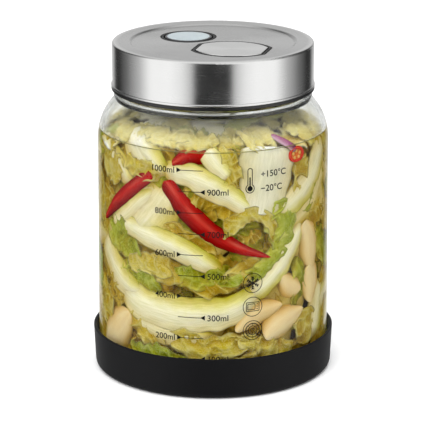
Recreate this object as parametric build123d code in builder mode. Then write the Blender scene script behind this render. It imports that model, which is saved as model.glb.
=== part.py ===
from build123d import *

import math
import os

# Fermentation jar: a glass jar in a soft boot, closed by a steel clad screw lid.
# The lid carries a press pump under a steel plate with two flats, and a round vent button.
# Millimetres. The Z axis is the jar's axis and the boot stands on Z = 0.
# The front of the jar, where the scale is printed, faces -Y.

# Overall sizes that the rest follows: the jar's radius and the height of the lid's top
jar_low_r = 57.7
cover_top_z = 165.8

# Soft boot under the jar
boot_floor = 2.5
boot_height = 20.7
boot_wall = 1.85
boot_lean = 0.85
boot_corner_r = 3.0
boot_rim_wall = 1.5
boot_rim_round = 0.5
boot_grip_height = 13.0
boot_inner_corner_r = 6.0
boot_foot_width = 9.55
boot_recess_depth = 0.8
boot_gap = 0.3

# Glass jar
jar_taper = 0.5
jar_wall = 2.4
jar_heel_r = 8.0
jar_inner_heel_r = 6.0
jar_floor = 6.5
jar_foot_width = 5.7
jar_punt_depth = 1.5
jar_punt_slope = 3.0
shoulder_r = 27.0
neck_set_in = 12.2
neck_wall = 3.2
bead_reach = 3.6
bead_bulge = 0.4
bead_top_inset = 0.8
bead_height = 3.2
bead_slope = 0.6
bead_gap = 1.04
bead_mid_share = 0.55
mouth_round = 0.9

# Steel cover of the lid
cover_wall = 0.5
cover_height = 22.0
cover_edge_r = 1.0
cover_rim_width = 9.75
dish_slope = 1.2
dish_depth = 0.8
dish_round = 0.9
hem_bulge = 0.6
hem_height = 1.4

# Threaded inner cap of the lid
rim_inset = 0.15
rim_height = 1.8
rim_round = 0.8
skirt_gap = 0.25
skirt_wall = 2.4
thread_room = 1.6
deck_gap = 0.3
deck_wall = 2.6
deck_step_width = 2.4
deck_step_gap = 0.3
gasket_rib_gap = 1.6
gasket_rib_wall = 1.2
gasket_rib_depth = 3.0
deck_rib_count = 10
deck_rib_wall = 1.2
deck_rib_depth = 2.2
deck_rib_start = 5.0

# Gasket between the lid and the mouth
gasket_gap = 0.3
gasket_wall = 2.2
gasket_seat_gap = 0.1
gasket_bead_inset = 0.7
gasket_bead_width = 2.2
gasket_bead_height = 1.3
gasket_round = 0.4

# Places and widths of the pump and the vent, as shares of the dish's radius
# The pump's opening has two flats and two bowed sides, and is turned a little from the front
pump_x_share = 0.2275
pump_y_share = -0.4
pump_flat_share = 0.46625
pump_bow_share = 0.45
pump_bow_r_share = 0.55
pump_turn = -14.4
vent_x_share = -0.305
vent_y_share = 0.32
vent_hole_share = 0.35

# Trim rings that line the two openings of the cover
ring_gap = 0.4
ring_flange = 1.0
ring_flange_wall = 1.2
ring_under_gap = 0.1
ring_pocket_gap = 0.3
ring_round = 0.25

# Pump
pump_ring_width = 1.4
plate_wall = 0.8
plate_round = 0.35
plate_corner_r = 0.8
plate_proud = 0.3
plate_gap = 0.4
pump_stroke = 5.0
button_wall = 2.0
button_inset = 0.15
button_catch = 0.7
button_catch_height = 1.3
button_catch_gap = 0.3
button_skirt_wall = 1.3
button_skirt_reach = 3.1
well_wall = 1.2
well_floor = 1.6
well_gap = 0.3
stop_gap = 0.5
stem_r = 4.0
stem_gap = 0.5
air_hole_r = 1.1
air_hole_inset = 2.9
air_hole_count = 6
piston_gap = 0.3
piston_side_gap = 0.7
piston_height = 4.2
piston_groove_depth = 2.8
piston_flange = 1.2
seal_fit = 0.08
seal_gap = 0.1
seal_lip = 0.9
seal_base_proud = 0.1
cylinder_inset = 4.75
cylinder_wall = 1.4
cylinder_floor = 1.5
cylinder_flange = 2.0
cylinder_round = 2.0

# Screws of the pump
ear_r = 3.0
ear_reach = 2.3
ear_angles = (0, 105, 210)
screw_r = 0.95
screw_hole_gap = 0.2
screw_pilot_gap = 0.05
screw_length = 8.0
screw_head_r = 1.9
screw_head = 1.3
screw_slot_width = 0.5
screw_slot_depth = 0.6
stem_screw_r = 1.3
stem_screw_length = 9.0
stem_screw_head_r = 2.7
stem_screw_head = 1.6
stem_screw_recess_gap = 0.2

# Round seals with a round section
seal_section_r = 0.7
seal_groove_gap = 0.05
cylinder_seal_inset = 1.95

# One-way valves, soft mushrooms pushed through their seats
valve_r = 4.0
valve_side_gap = 0.3
valve_height = 1.2
valve_edge = 0.4
valve_stem_r = 1.15
valve_hole_gap = 0.15
valve_bulb_r = 1.9
valve_bulb_height = 2.2
valve_port_r = 0.7
valve_port_pitch_r = 2.6
valve_port_count = 4
valve_lift_room = 0.4

# Vent
vent_ring_width = 1.3
vent_gap = 0.6
vent_dome = 0.5
vent_proud = 0.2
vent_skin = 1.2
vent_edge_r = 0.5
vent_catch = 0.7
vent_catch_height = 1.3
vent_stroke = 2.5
vent_core_gap = 0.1
vent_stem_r = 2.0
vent_push_room = 0.4
vent_well_room = 1.3
vent_well_wall = 1.2
vent_pocket_inset = 2.9
vent_pocket_depth = 4.3
vent_pocket_floor = 1.5
vent_seat_gap = 0.2
vent_seat_wall = 1.1
vent_seat_rise = 1.0
vent_seat_flange = 1.8
vent_seat_inset = 0.4

# Springs
pump_spring_share = 0.6667
pump_wire_r = 0.4
pump_spring_turns = 4
vent_spring_share = 0.6667
vent_wire_r = 0.35
vent_spring_turns = 4
spring_seat_gap = 0.05

# Overrun of every cut past the face that it opens
overrun = 1.0



def key_corner(grow):
    """Corner of the plate's outline, grown outward by grow: across, along and from the centre."""
    across = plate_flat + grow
    along = math.sqrt((plate_bow_r + grow) ** 2 - across**2) - (plate_bow_r - plate_bow)
    return across, along, math.hypot(across, along)


def key_face(grow):
    """The plate's outline grown outward by grow: two flats, two bowed sides and rounded corners."""
    across, along, _ = key_corner(grow)
    bow = plate_bow + grow
    with BuildSketch() as outline:
        with BuildLine():
            ThreePointArc((-across, along), (0, bow), (across, along))
            Line((across, along), (across, -along))
            ThreePointArc((across, -along), (0, -bow), (-across, -along))
            Line((-across, -along), (-across, along))
        make_face()
        fillet(outline.vertices(), plate_corner_r + max(grow, 0))
    return outline.sketch


# Radii of the boot, the jar and the lid, worked out from the jar inward and outward
boot_low_r = jar_low_r + boot_wall
boot_top_r = boot_low_r + boot_lean
boot_recess_r = boot_low_r - boot_foot_width
jar_foot_z = boot_floor
jar_high_r = jar_low_r - jar_taper
jar_punt_r = jar_low_r - jar_heel_r - jar_foot_width
neck_r = jar_high_r - neck_set_in
mouth_r = neck_r - neck_wall
bead_low_r = neck_r + bead_reach
bead_r = bead_low_r + bead_bulge
bead_top_r = bead_low_r - bead_top_inset
skirt_inner_r = neck_r + thread_room
skirt_r = skirt_inner_r + skirt_wall
cover_inner_r = skirt_r + skirt_gap
cover_r = cover_inner_r + cover_wall
hem_r = cover_r + hem_bulge
rim_r = hem_r - rim_inset
dish_r = cover_r - cover_rim_width
deck_step_r = dish_r + deck_step_width
gasket_rib_r = mouth_r - gasket_rib_gap
gasket_bead_r = mouth_r + gasket_bead_inset

# Heights of the lid and of the jar's neck and shoulder, worked out from the top down
hem_bottom_z = cover_top_z - cover_height
rim_bottom_z = hem_bottom_z - rim_height
dish_z = cover_top_z - dish_depth
deck_top_z = dish_z - cover_wall - deck_gap
deck_low_z = deck_top_z - deck_wall
gasket_top_z = deck_low_z - gasket_seat_gap
mouth_z = gasket_top_z - gasket_wall - gasket_bead_height
bead_top_z = rim_bottom_z - bead_gap
bead_low_z = bead_top_z - bead_height
shoulder_centre_r = jar_high_r - shoulder_r
shoulder_z = bead_low_z - math.sqrt(shoulder_r**2 - (bead_low_r - shoulder_centre_r) ** 2)

# Pump, from its opening in the cover inward and from the dish down
pump_x = dish_r * pump_x_share
pump_y = dish_r * pump_y_share
plate_grow = ring_gap + pump_ring_width + plate_gap
plate_flat = dish_r * pump_flat_share - plate_grow
plate_bow = dish_r * pump_bow_share - plate_grow
plate_bow_r = dish_r * pump_bow_r_share - plate_grow
pump_ring_grow = plate_gap + pump_ring_width
pump_flange_grow = pump_ring_grow + ring_flange
ring_flange_top_z = dish_z - cover_wall - ring_under_gap
ring_flange_low_z = ring_flange_top_z - ring_flange_wall
button_top_z = dish_z + plate_proud - plate_wall
button_catch_grow = plate_gap + button_catch
button_catch_top_z = ring_flange_low_z - button_catch_gap
button_catch_low_z = button_catch_top_z - button_catch_height
button_skirt_z = button_catch_low_z - button_skirt_reach
pump_well_grow = button_catch_grow + well_gap
pump_well_outer_r = key_corner(pump_well_grow)[2] + well_wall
ledge_z = button_skirt_z - pump_stroke - stop_gap
ledge_low_z = ledge_z - well_floor
cylinder_r = pump_well_outer_r - cylinder_inset
cylinder_seal_r = pump_well_outer_r - cylinder_seal_inset
piston_r = cylinder_r - piston_side_gap
piston_groove_r = piston_r - piston_groove_depth
seal_base_r = piston_r + seal_base_proud
air_hole_pitch_r = cylinder_r - air_hole_inset
pump_spring_r = stem_r + pump_spring_share * (air_hole_pitch_r - air_hole_r - stem_r)
piston_top_z = ledge_low_z - piston_gap
piston_low_z = piston_top_z - piston_height
cylinder_floor_z = piston_low_z - pump_stroke - valve_height - valve_lift_room
cylinder_low_z = cylinder_floor_z - cylinder_floor
cylinder_flange_z = ledge_low_z - cylinder_flange
ear_pitch_r = pump_well_outer_r + ear_reach

# Vent, from its opening in the cover inward and from the dish down, with a throat that fits its valve
vent_x = dish_r * vent_x_share
vent_y = dish_r * vent_y_share
vent_hole_r = dish_r * vent_hole_share
vent_ring_r = vent_hole_r - ring_gap
vent_ring_inner_r = vent_ring_r - vent_ring_width
vent_button_r = vent_ring_inner_r - vent_gap
vent_catch_r = vent_ring_inner_r + vent_catch
vent_catch_top_z = ring_flange_low_z - button_catch_gap
vent_catch_low_z = vent_catch_top_z - vent_catch_height
vent_core_r = vent_button_r - vent_skin - vent_core_gap
vent_core_top_z = dish_z + vent_proud - vent_skin
vent_well_r = vent_catch_r + well_gap
vent_well_low_z = vent_catch_low_z - vent_stroke - vent_well_room
vent_pocket_r = vent_well_r - vent_pocket_inset
vent_pocket_floor_z = vent_well_low_z - vent_pocket_depth
vent_seat_inner_r = valve_r + valve_side_gap
vent_seat_r = vent_seat_inner_r + vent_seat_wall
vent_throat_r = vent_seat_r + vent_seat_gap
vent_throat_low_z = vent_pocket_floor_z - vent_pocket_floor
vent_spring_r = vent_throat_r + vent_spring_share * (vent_pocket_r - vent_throat_r)
vent_seat_flange_r = vent_pocket_r + vent_well_wall - vent_seat_inset
vent_seat_low_z = vent_throat_low_z - vent_seat_flange
vent_seal_r = (vent_throat_r + vent_seat_flange_r) / 2
valve_hole_r = valve_stem_r + valve_hole_gap

# Planes and axes of the three round groups
jar_plane = Plane.XZ
pump_plane = Plane(origin=(pump_x, pump_y, 0), x_dir=(1, 0, 0), z_dir=(0, -1, 0))
vent_plane = Plane(origin=(vent_x, vent_y, 0), x_dir=(1, 0, 0), z_dir=(0, -1, 0))
pump_axis = Axis((pump_x, pump_y, 0), (0, 0, 1))
vent_axis = Axis((vent_x, vent_y, 0), (0, 0, 1))


def level(x, y, z):
    """A horizontal plane at height z with its origin over (x, y)."""
    return Plane(origin=(x, y, z), x_dir=(1, 0, 0), z_dir=(0, 0, 1))


def key_level(z):
    """A horizontal plane at height z over the pump's middle, turned as its plate is."""
    turn = math.radians(pump_turn)
    return Plane(origin=(pump_x, pump_y, z), x_dir=(math.cos(turn), math.sin(turn), 0), z_dir=(0, 0, 1))


def save(piece, name):
    """Labels a finished piece and writes its file."""
    piece.part.label = name
    export_step(piece.part, f"parts/{name}.step")


os.makedirs("parts", exist_ok=True)

# Boot: a cup whose wall leans out a little and leaves a thin gap at the rim
boot_inner_r = jar_low_r + boot_gap
boot_mouth_r = boot_top_r - boot_rim_wall
with BuildPart() as base_sleeve:
    with BuildSketch(jar_plane) as boot_outline:
        with BuildLine():
            Polyline((0, boot_recess_depth), (boot_recess_r, boot_recess_depth), (boot_recess_r, 0))
            Line((boot_recess_r, 0), (boot_low_r - boot_corner_r, 0))
            RadiusArc((boot_low_r - boot_corner_r, 0), (boot_low_r, boot_corner_r), -boot_corner_r)
            Line((boot_low_r, boot_corner_r), (boot_top_r, boot_height))
            Line((boot_top_r, boot_height), (boot_mouth_r, boot_height))
            Line((boot_mouth_r, boot_height), (boot_inner_r, boot_grip_height))
            Polyline(
                (boot_inner_r, boot_grip_height),
                (boot_inner_r, boot_floor),
                (0, boot_floor),
                (0, boot_recess_depth),
            )
        make_face()
        fillet(boot_outline.vertices().sort_by(Axis.Y)[-2:], boot_rim_round)
        inner_corner = boot_outline.vertices().sort_by_distance((boot_inner_r, boot_floor))[0]
        fillet(inner_corner, boot_inner_corner_r)
    revolve(axis=Axis.Z)
save(base_sleeve, "base_sleeve")

# Jar: one wall drawn outside and inside, from the standing ring to the mouth
jar_floor_z = jar_foot_z + jar_floor
heel_z = jar_foot_z + jar_heel_r
inner_low_r = jar_low_r - jar_wall
inner_high_r = jar_high_r - jar_wall
inner_shoulder_r = shoulder_r - jar_wall
inner_neck_z = shoulder_z + math.sqrt(inner_shoulder_r**2 - (mouth_r - shoulder_centre_r) ** 2)
bead_mid_z = bead_low_z + bead_mid_share * bead_height
with BuildPart() as glass_jar:
    with BuildSketch(jar_plane) as jar_outline:
        with BuildLine():
            Polyline(
                (0, jar_foot_z + jar_punt_depth),
                (jar_punt_r, jar_foot_z + jar_punt_depth),
                (jar_punt_r + jar_punt_slope, jar_foot_z),
                (jar_low_r - jar_heel_r, jar_foot_z),
            )
            RadiusArc((jar_low_r - jar_heel_r, jar_foot_z), (jar_low_r, heel_z), -jar_heel_r)
            Line((jar_low_r, heel_z), (jar_high_r, shoulder_z))
            RadiusArc((jar_high_r, shoulder_z), (bead_low_r, bead_low_z), -shoulder_r)
            ThreePointArc((bead_low_r, bead_low_z), (bead_r, bead_mid_z), (bead_top_r, bead_top_z))
            Polyline(
                (bead_top_r, bead_top_z),
                (neck_r, bead_top_z + bead_slope),
                (neck_r, mouth_z),
                (mouth_r, mouth_z),
                (mouth_r, inner_neck_z),
            )
            RadiusArc((mouth_r, inner_neck_z), (inner_high_r, shoulder_z), inner_shoulder_r)
            Line((inner_high_r, shoulder_z), (inner_low_r, jar_floor_z + jar_inner_heel_r))
            RadiusArc(
                (inner_low_r, jar_floor_z + jar_inner_heel_r),
                (inner_low_r - jar_inner_heel_r, jar_floor_z),
                jar_inner_heel_r,
            )
            Polyline(
                (inner_low_r - jar_inner_heel_r, jar_floor_z),
                (0, jar_floor_z),
                (0, jar_foot_z + jar_punt_depth),
            )
        make_face()
        fillet(jar_outline.vertices().sort_by(Axis.Y)[-2:], mouth_round)
    revolve(axis=Axis.Z)
save(glass_jar, "glass_jar")

# Gasket: a flat ring under the deck with a raised bead that meets the mouth
gasket_inner_r = gasket_rib_r + gasket_gap + gasket_gap
gasket_outer_r = skirt_inner_r - gasket_gap
with BuildPart() as lid_gasket:
    with BuildSketch(jar_plane) as gasket_outline:
        with BuildLine():
            Polyline(
                (gasket_inner_r, gasket_top_z),
                (gasket_inner_r, gasket_top_z - gasket_wall),
                (gasket_bead_r, gasket_top_z - gasket_wall),
                (gasket_bead_r, mouth_z),
                (gasket_bead_r + gasket_bead_width, mouth_z),
                (gasket_bead_r + gasket_bead_width, gasket_top_z - gasket_wall),
                (gasket_outer_r, gasket_top_z - gasket_wall),
                (gasket_outer_r, gasket_top_z),
                close=True,
            )
        make_face()
        fillet(gasket_outline.vertices().sort_by(Axis.Y)[:2], gasket_round)
    revolve(axis=Axis.Z)
save(lid_gasket, "lid_gasket")

# Steel cover: a drawn shell with a rolled hem, a shallow dish and two openings
with BuildPart() as steel_cover:
    with BuildSketch(jar_plane) as cover_outline:
        with BuildLine():
            Polyline(
                (0, dish_z),
                (dish_r, dish_z),
                (dish_r + dish_slope, cover_top_z),
                (cover_r, cover_top_z),
                (cover_r, hem_bottom_z + hem_height),
            )
            ThreePointArc(
                (cover_r, hem_bottom_z + hem_height),
                (hem_r, hem_bottom_z + hem_height / 2),
                (cover_r, hem_bottom_z),
            )
            Polyline(
                (cover_r, hem_bottom_z),
                (cover_inner_r, hem_bottom_z),
                (cover_inner_r, cover_top_z - cover_wall),
                (dish_r + dish_slope, cover_top_z - cover_wall),
                (dish_r, dish_z - cover_wall),
                (0, dish_z - cover_wall),
                (0, dish_z),
            )
        make_face()
        outer_edge = cover_outline.vertices().sort_by_distance((cover_r, cover_top_z))[0]
        fillet(outer_edge, cover_edge_r)
        inner_edge = cover_outline.vertices().sort_by_distance((cover_inner_r, cover_top_z - cover_wall))[0]
        fillet(inner_edge, cover_edge_r - cover_wall)
        for corner_r, corner_z in ((dish_r, dish_z), (dish_r + dish_slope, cover_top_z)):
            corner = cover_outline.vertices().sort_by_distance((corner_r, corner_z))[0]
            fillet(corner, dish_round)
    revolve(axis=Axis.Z)
    with BuildSketch(key_level(cover_top_z + overrun)):
        add(key_face(plate_grow))
    extrude(amount=-(dish_depth + cover_wall + overrun + overrun), mode=Mode.SUBTRACT)
    with BuildSketch(level(vent_x, vent_y, cover_top_z + overrun)):
        Circle(vent_hole_r)
    extrude(amount=-(dish_depth + cover_wall + overrun + overrun), mode=Mode.SUBTRACT)
save(steel_cover, "steel_cover")

# Inner cap: skirt and rim, deck with ribs, and the two wells that hang from it
vent_pocket_top_r = vent_ring_r + ring_flange + ring_pocket_gap
with BuildPart() as lid_liner:
    with BuildSketch(jar_plane) as liner_outline:
        with BuildLine():
            Polyline(
                (0, deck_low_z),
                (gasket_rib_r - gasket_rib_wall, deck_low_z),
                (gasket_rib_r - gasket_rib_wall, deck_low_z - gasket_rib_depth),
                (gasket_rib_r, deck_low_z - gasket_rib_depth),
                (gasket_rib_r, deck_low_z),
                (skirt_inner_r, deck_low_z),
                (skirt_inner_r, rim_bottom_z),
                (rim_r, rim_bottom_z),
                (rim_r, hem_bottom_z),
                (skirt_r, hem_bottom_z),
                (skirt_r, cover_top_z - cover_wall - deck_step_gap),
                (deck_step_r, cover_top_z - cover_wall - deck_step_gap),
                (deck_step_r, deck_top_z),
                (0, deck_top_z),
                close=True,
            )
        make_face()
        rim_corner = liner_outline.vertices().sort_by_distance((rim_r, rim_bottom_z))[0]
        fillet(rim_corner, rim_round)
        top_corner = liner_outline.vertices().sort_by_distance((skirt_r, cover_top_z))[0]
        fillet(top_corner, cover_edge_r)
    revolve(axis=Axis.Z)
    with BuildSketch(Plane.XY.offset(deck_low_z)):
        rib_length = gasket_rib_r - gasket_rib_wall / 2 - deck_rib_start
        with PolarLocations(deck_rib_start + rib_length / 2, deck_rib_count):
            Rectangle(rib_length, deck_rib_wall)
    extrude(amount=-deck_rib_depth)
    # Bosses of the wells and of the screws
    with BuildSketch(level(pump_x, pump_y, ledge_low_z)):
        Circle(pump_well_outer_r)
        for angle in ear_angles:
            with PolarLocations(ear_pitch_r, 1, start_angle=angle):
                Circle(ear_r)
    extrude(amount=deck_low_z - ledge_low_z)
    with BuildSketch(level(vent_x, vent_y, vent_well_low_z - vent_well_wall)):
        Circle(vent_well_r + vent_well_wall)
    extrude(amount=deck_low_z - vent_well_low_z + vent_well_wall)
    with BuildSketch(level(vent_x, vent_y, vent_throat_low_z)):
        Circle(vent_pocket_r + vent_well_wall)
    extrude(amount=deck_low_z - vent_throat_low_z)
    # Pump side: pocket for the trim ring, well, stem hole and air holes
    with BuildSketch(key_level(ring_flange_low_z)):
        add(key_face(pump_flange_grow + ring_pocket_gap))
    extrude(amount=deck_top_z - ring_flange_low_z + overrun, mode=Mode.SUBTRACT)
    with BuildSketch(key_level(ledge_z)):
        add(key_face(pump_well_grow))
    extrude(amount=deck_top_z - ledge_z, mode=Mode.SUBTRACT)
    with BuildSketch(level(pump_x, pump_y, ledge_low_z)):
        Circle(stem_r + stem_gap)
        with PolarLocations(air_hole_pitch_r, air_hole_count):
            Circle(air_hole_r)
    extrude(amount=well_floor, mode=Mode.SUBTRACT)
    with BuildSketch(level(pump_x, pump_y, ledge_low_z)):
        for angle in ear_angles:
            with PolarLocations(ear_pitch_r, 1, start_angle=angle):
                Circle(screw_r + screw_pilot_gap)
    extrude(amount=screw_length, mode=Mode.SUBTRACT)
    # Vent side: pocket for the trim ring, well, spring pocket and throat
    with BuildSketch(level(vent_x, vent_y, ring_flange_low_z)):
        Circle(vent_pocket_top_r)
    extrude(amount=deck_top_z - ring_flange_low_z + overrun, mode=Mode.SUBTRACT)
    with BuildSketch(level(vent_x, vent_y, vent_well_low_z)):
        Circle(vent_well_r)
    extrude(amount=deck_top_z - vent_well_low_z, mode=Mode.SUBTRACT)
    with BuildSketch(level(vent_x, vent_y, vent_pocket_floor_z)):
        Circle(vent_pocket_r)
    extrude(amount=deck_top_z - vent_pocket_floor_z, mode=Mode.SUBTRACT)
    with BuildSketch(level(vent_x, vent_y, vent_throat_low_z)):
        Circle(vent_throat_r)
    extrude(amount=vent_pocket_floor, mode=Mode.SUBTRACT)
save(lid_liner, "lid_liner")


# Pump ring: a keyed ring flush with the dish, whose flange is clamped between cover and deck
with BuildPart() as pump_ring:
    with BuildSketch(key_level(ring_flange_low_z)):
        add(key_face(pump_flange_grow))
    extrude(amount=ring_flange_wall)
    with BuildSketch(key_level(ring_flange_low_z)):
        add(key_face(pump_ring_grow))
    extrude(amount=dish_z - ring_flange_low_z)
    with BuildSketch(key_level(ring_flange_low_z)):
        add(key_face(plate_gap))
    extrude(amount=dish_z - ring_flange_low_z, mode=Mode.SUBTRACT)
    fillet(pump_ring.faces().sort_by(Axis.Z)[-1].edges(), ring_round)
save(pump_ring, "pump_ring")

# Vent ring: the same ring with a round opening
with BuildPart() as vent_ring:
    with BuildSketch(vent_plane) as ring_outline:
        with BuildLine():
            Polyline(
                (vent_ring_inner_r, dish_z),
                (vent_ring_r, dish_z),
                (vent_ring_r, ring_flange_top_z),
                (vent_ring_r + ring_flange, ring_flange_top_z),
                (vent_ring_r + ring_flange, ring_flange_low_z),
                (vent_ring_inner_r, ring_flange_low_z),
                close=True,
            )
        make_face()
        fillet(ring_outline.vertices().sort_by(Axis.Y)[-2:], ring_round)
    revolve(axis=vent_axis)
save(vent_ring, "vent_ring")

# Pump plate: a flat steel plate on the button, keyed by its two flats
with BuildPart() as pump_plate:
    with BuildSketch(key_level(button_top_z)):
        add(key_face(0))
    extrude(amount=plate_wall)
    fillet(pump_plate.faces().sort_by(Axis.Z)[-1].edges(), plate_round)
save(pump_plate, "pump_plate")

# Pump button: a keyed cap that slides in its well, held by a catch under the trim ring
button_low_z = button_top_z - button_wall
with BuildPart() as pump_button:
    with BuildSketch(key_level(button_skirt_z)):
        add(key_face(-button_inset))
    extrude(amount=button_top_z - button_skirt_z)
    with BuildSketch(key_level(button_catch_low_z)):
        add(key_face(button_catch_grow))
    extrude(amount=button_catch_height)
    with BuildSketch(key_level(button_skirt_z)):
        add(key_face(-button_inset - button_skirt_wall))
    extrude(amount=button_low_z - button_skirt_z, mode=Mode.SUBTRACT)
    with BuildSketch(level(pump_x, pump_y, piston_top_z)):
        Circle(stem_r)
    extrude(amount=button_low_z - piston_top_z)
    with BuildSketch(level(pump_x, pump_y, piston_top_z)):
        Circle(stem_screw_r + screw_pilot_gap)
    extrude(amount=stem_screw_length, mode=Mode.SUBTRACT)
save(pump_button, "pump_button")

# Piston: a spool at the foot of the stem
piston_web_z = piston_low_z + piston_flange
with BuildPart() as piston:
    with BuildSketch(pump_plane):
        with BuildLine():
            Polyline(
                (0, piston_top_z),
                (piston_r, piston_top_z),
                (piston_r, piston_top_z - piston_flange),
                (piston_groove_r, piston_top_z - piston_flange),
                (piston_groove_r, piston_web_z),
                (piston_r, piston_web_z),
                (piston_r, piston_low_z),
                (0, piston_low_z),
                close=True,
            )
        make_face()
    revolve(axis=pump_axis)
    with BuildSketch(level(pump_x, pump_y, piston_low_z)):
        Circle(stem_screw_r + screw_pilot_gap)
    extrude(amount=piston_height, mode=Mode.SUBTRACT)
    with BuildSketch(level(pump_x, pump_y, piston_low_z)):
        Circle(stem_screw_head_r + stem_screw_recess_gap)
    extrude(amount=stem_screw_head, mode=Mode.SUBTRACT)
save(piston, "piston")

# Piston seal: a cup whose lip opens upward, so that air passes it on the way down
seal_low_z = piston_web_z + seal_gap
seal_top_z = piston_top_z - piston_flange - seal_gap
seal_inner_r = piston_groove_r + seal_gap
seal_outer_r = cylinder_r - seal_fit
with BuildPart() as piston_seal:
    with BuildSketch(pump_plane):
        with BuildLine():
            Polyline(
                (seal_inner_r, seal_low_z),
                (seal_base_r, seal_low_z),
                (seal_outer_r, seal_top_z),
                (seal_outer_r - seal_lip, seal_top_z),
                ((seal_inner_r + seal_lip + seal_outer_r - seal_lip) / 2, (seal_low_z + seal_top_z) / 2),
                (seal_inner_r + seal_lip, seal_top_z),
                (seal_inner_r, seal_top_z),
                close=True,
            )
        make_face()
    revolve(axis=pump_axis)
save(piston_seal, "piston_seal")


def screw(x, y, seat_z, shank_r, length, head_r, head):
    """A screw driven upward: its head lies under seat_z and a slot crosses it."""
    with BuildPart() as one:
        with BuildSketch(level(x, y, seat_z)):
            Circle(shank_r)
        extrude(amount=length)
        with BuildSketch(level(x, y, seat_z)):
            Circle(head_r)
        extrude(amount=-head)
        with BuildSketch(level(x, y, seat_z - head)):
            Rectangle(head_r + head_r + overrun, screw_slot_width)
        extrude(amount=screw_slot_depth, mode=Mode.SUBTRACT)
    return one


stem_screw_seat_z = piston_low_z + stem_screw_head
stem_screw_reach = piston_height - stem_screw_head + stem_screw_length - overrun
piston_screw = screw(
    pump_x, pump_y, stem_screw_seat_z, stem_screw_r, stem_screw_reach, stem_screw_head_r, stem_screw_head
)
save(piston_screw, "piston_screw")

# Pump cylinder: a cup screwed up under the pump well by three ears
cylinder_outer_r = cylinder_r + cylinder_wall
with BuildPart() as pump_cylinder:
    with BuildSketch(level(pump_x, pump_y, cylinder_low_z)):
        Circle(cylinder_outer_r)
    extrude(amount=ledge_low_z - cylinder_low_z)
    fillet(pump_cylinder.edges().sort_by(Axis.Z)[0], cylinder_round)
    with BuildSketch(level(pump_x, pump_y, cylinder_flange_z)):
        Circle(pump_well_outer_r)
        for angle in ear_angles:
            with PolarLocations(ear_pitch_r, 1, start_angle=angle):
                Circle(ear_r)
    extrude(amount=cylinder_flange)
    with BuildSketch(level(pump_x, pump_y, cylinder_floor_z)):
        Circle(cylinder_r)
    extrude(amount=ledge_low_z - cylinder_floor_z, mode=Mode.SUBTRACT)
    with BuildSketch(level(pump_x, pump_y, cylinder_low_z)):
        Circle(valve_hole_r)
        with PolarLocations(valve_port_pitch_r, valve_port_count):
            Circle(valve_port_r)
    extrude(amount=cylinder_floor, mode=Mode.SUBTRACT)
    with BuildSketch(level(pump_x, pump_y, cylinder_flange_z)):
        for angle in ear_angles:
            with PolarLocations(ear_pitch_r, 1, start_angle=angle):
                Circle(screw_r + screw_hole_gap)
    extrude(amount=cylinder_flange, mode=Mode.SUBTRACT)
    groove_r = seal_section_r + seal_groove_gap
    with BuildSketch(level(pump_x, pump_y, ledge_low_z)):
        Circle(cylinder_seal_r + groove_r)
        Circle(cylinder_seal_r - groove_r, mode=Mode.SUBTRACT)
    extrude(amount=-(groove_r + seal_section_r), mode=Mode.SUBTRACT)
save(pump_cylinder, "pump_cylinder")


def round_seal(plane, axis, ring_r, top_z):
    """A ring of round section whose top lies just under top_z."""
    with BuildPart() as ring:
        centre_z = top_z - seal_groove_gap / 2 - seal_section_r
        section_plane = Plane(
            origin=plane.from_local_coords((ring_r, centre_z, 0)), x_dir=plane.x_dir, z_dir=plane.z_dir
        )
        with BuildSketch(section_plane):
            Circle(seal_section_r)
        revolve(axis=axis)
    return ring


save(round_seal(pump_plane, pump_axis, cylinder_seal_r, ledge_low_z), "cylinder_seal")

# Three screws through the ears
ear_screws = []
for angle in ear_angles:
    turn = math.radians(angle)
    screw_x = pump_x + ear_pitch_r * math.cos(turn)
    screw_y = pump_y + ear_pitch_r * math.sin(turn)
    reach = cylinder_flange + screw_length - overrun
    ear_screws.append(screw(screw_x, screw_y, cylinder_flange_z, screw_r, reach, screw_head_r, screw_head))
with BuildPart() as cylinder_screws:
    for one in ear_screws:
        add(one.part)
save(cylinder_screws, "cylinder_screws")


def one_way_valve(plane, axis, seat_z, floor):
    """A soft mushroom: its skirt lies on seat_z and its bulb holds it under the floor."""
    bulb_top_z = seat_z - floor - seal_gap
    with BuildPart() as valve:
        with BuildSketch(plane):
            with BuildLine():
                Line((0, seat_z + valve_height), (0, bulb_top_z - valve_bulb_height))
                Line((0, bulb_top_z - valve_bulb_height), (valve_stem_r, bulb_top_z - valve_bulb_height))
                Line((valve_stem_r, bulb_top_z - valve_bulb_height), (valve_bulb_r, bulb_top_z))
                Line((valve_bulb_r, bulb_top_z), (valve_stem_r, bulb_top_z))
                Line((valve_stem_r, bulb_top_z), (valve_stem_r, seat_z))
                Line((valve_stem_r, seat_z), (valve_r, seat_z))
                Line((valve_r, seat_z), (valve_r, seat_z + valve_edge))
                dome_r = valve_r - valve_stem_r
                dome_z = seat_z + valve_height
                Spline(
                    (valve_r, seat_z + valve_edge),
                    (valve_stem_r, dome_z),
                    tangents=((-dome_r, valve_height), (-1, 0)),
                )
                Line((valve_stem_r, dome_z), (0, dome_z))
            make_face()
        revolve(axis=axis)
    return valve


save(one_way_valve(pump_plane, pump_axis, cylinder_floor_z, cylinder_floor), "intake_valve")

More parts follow.
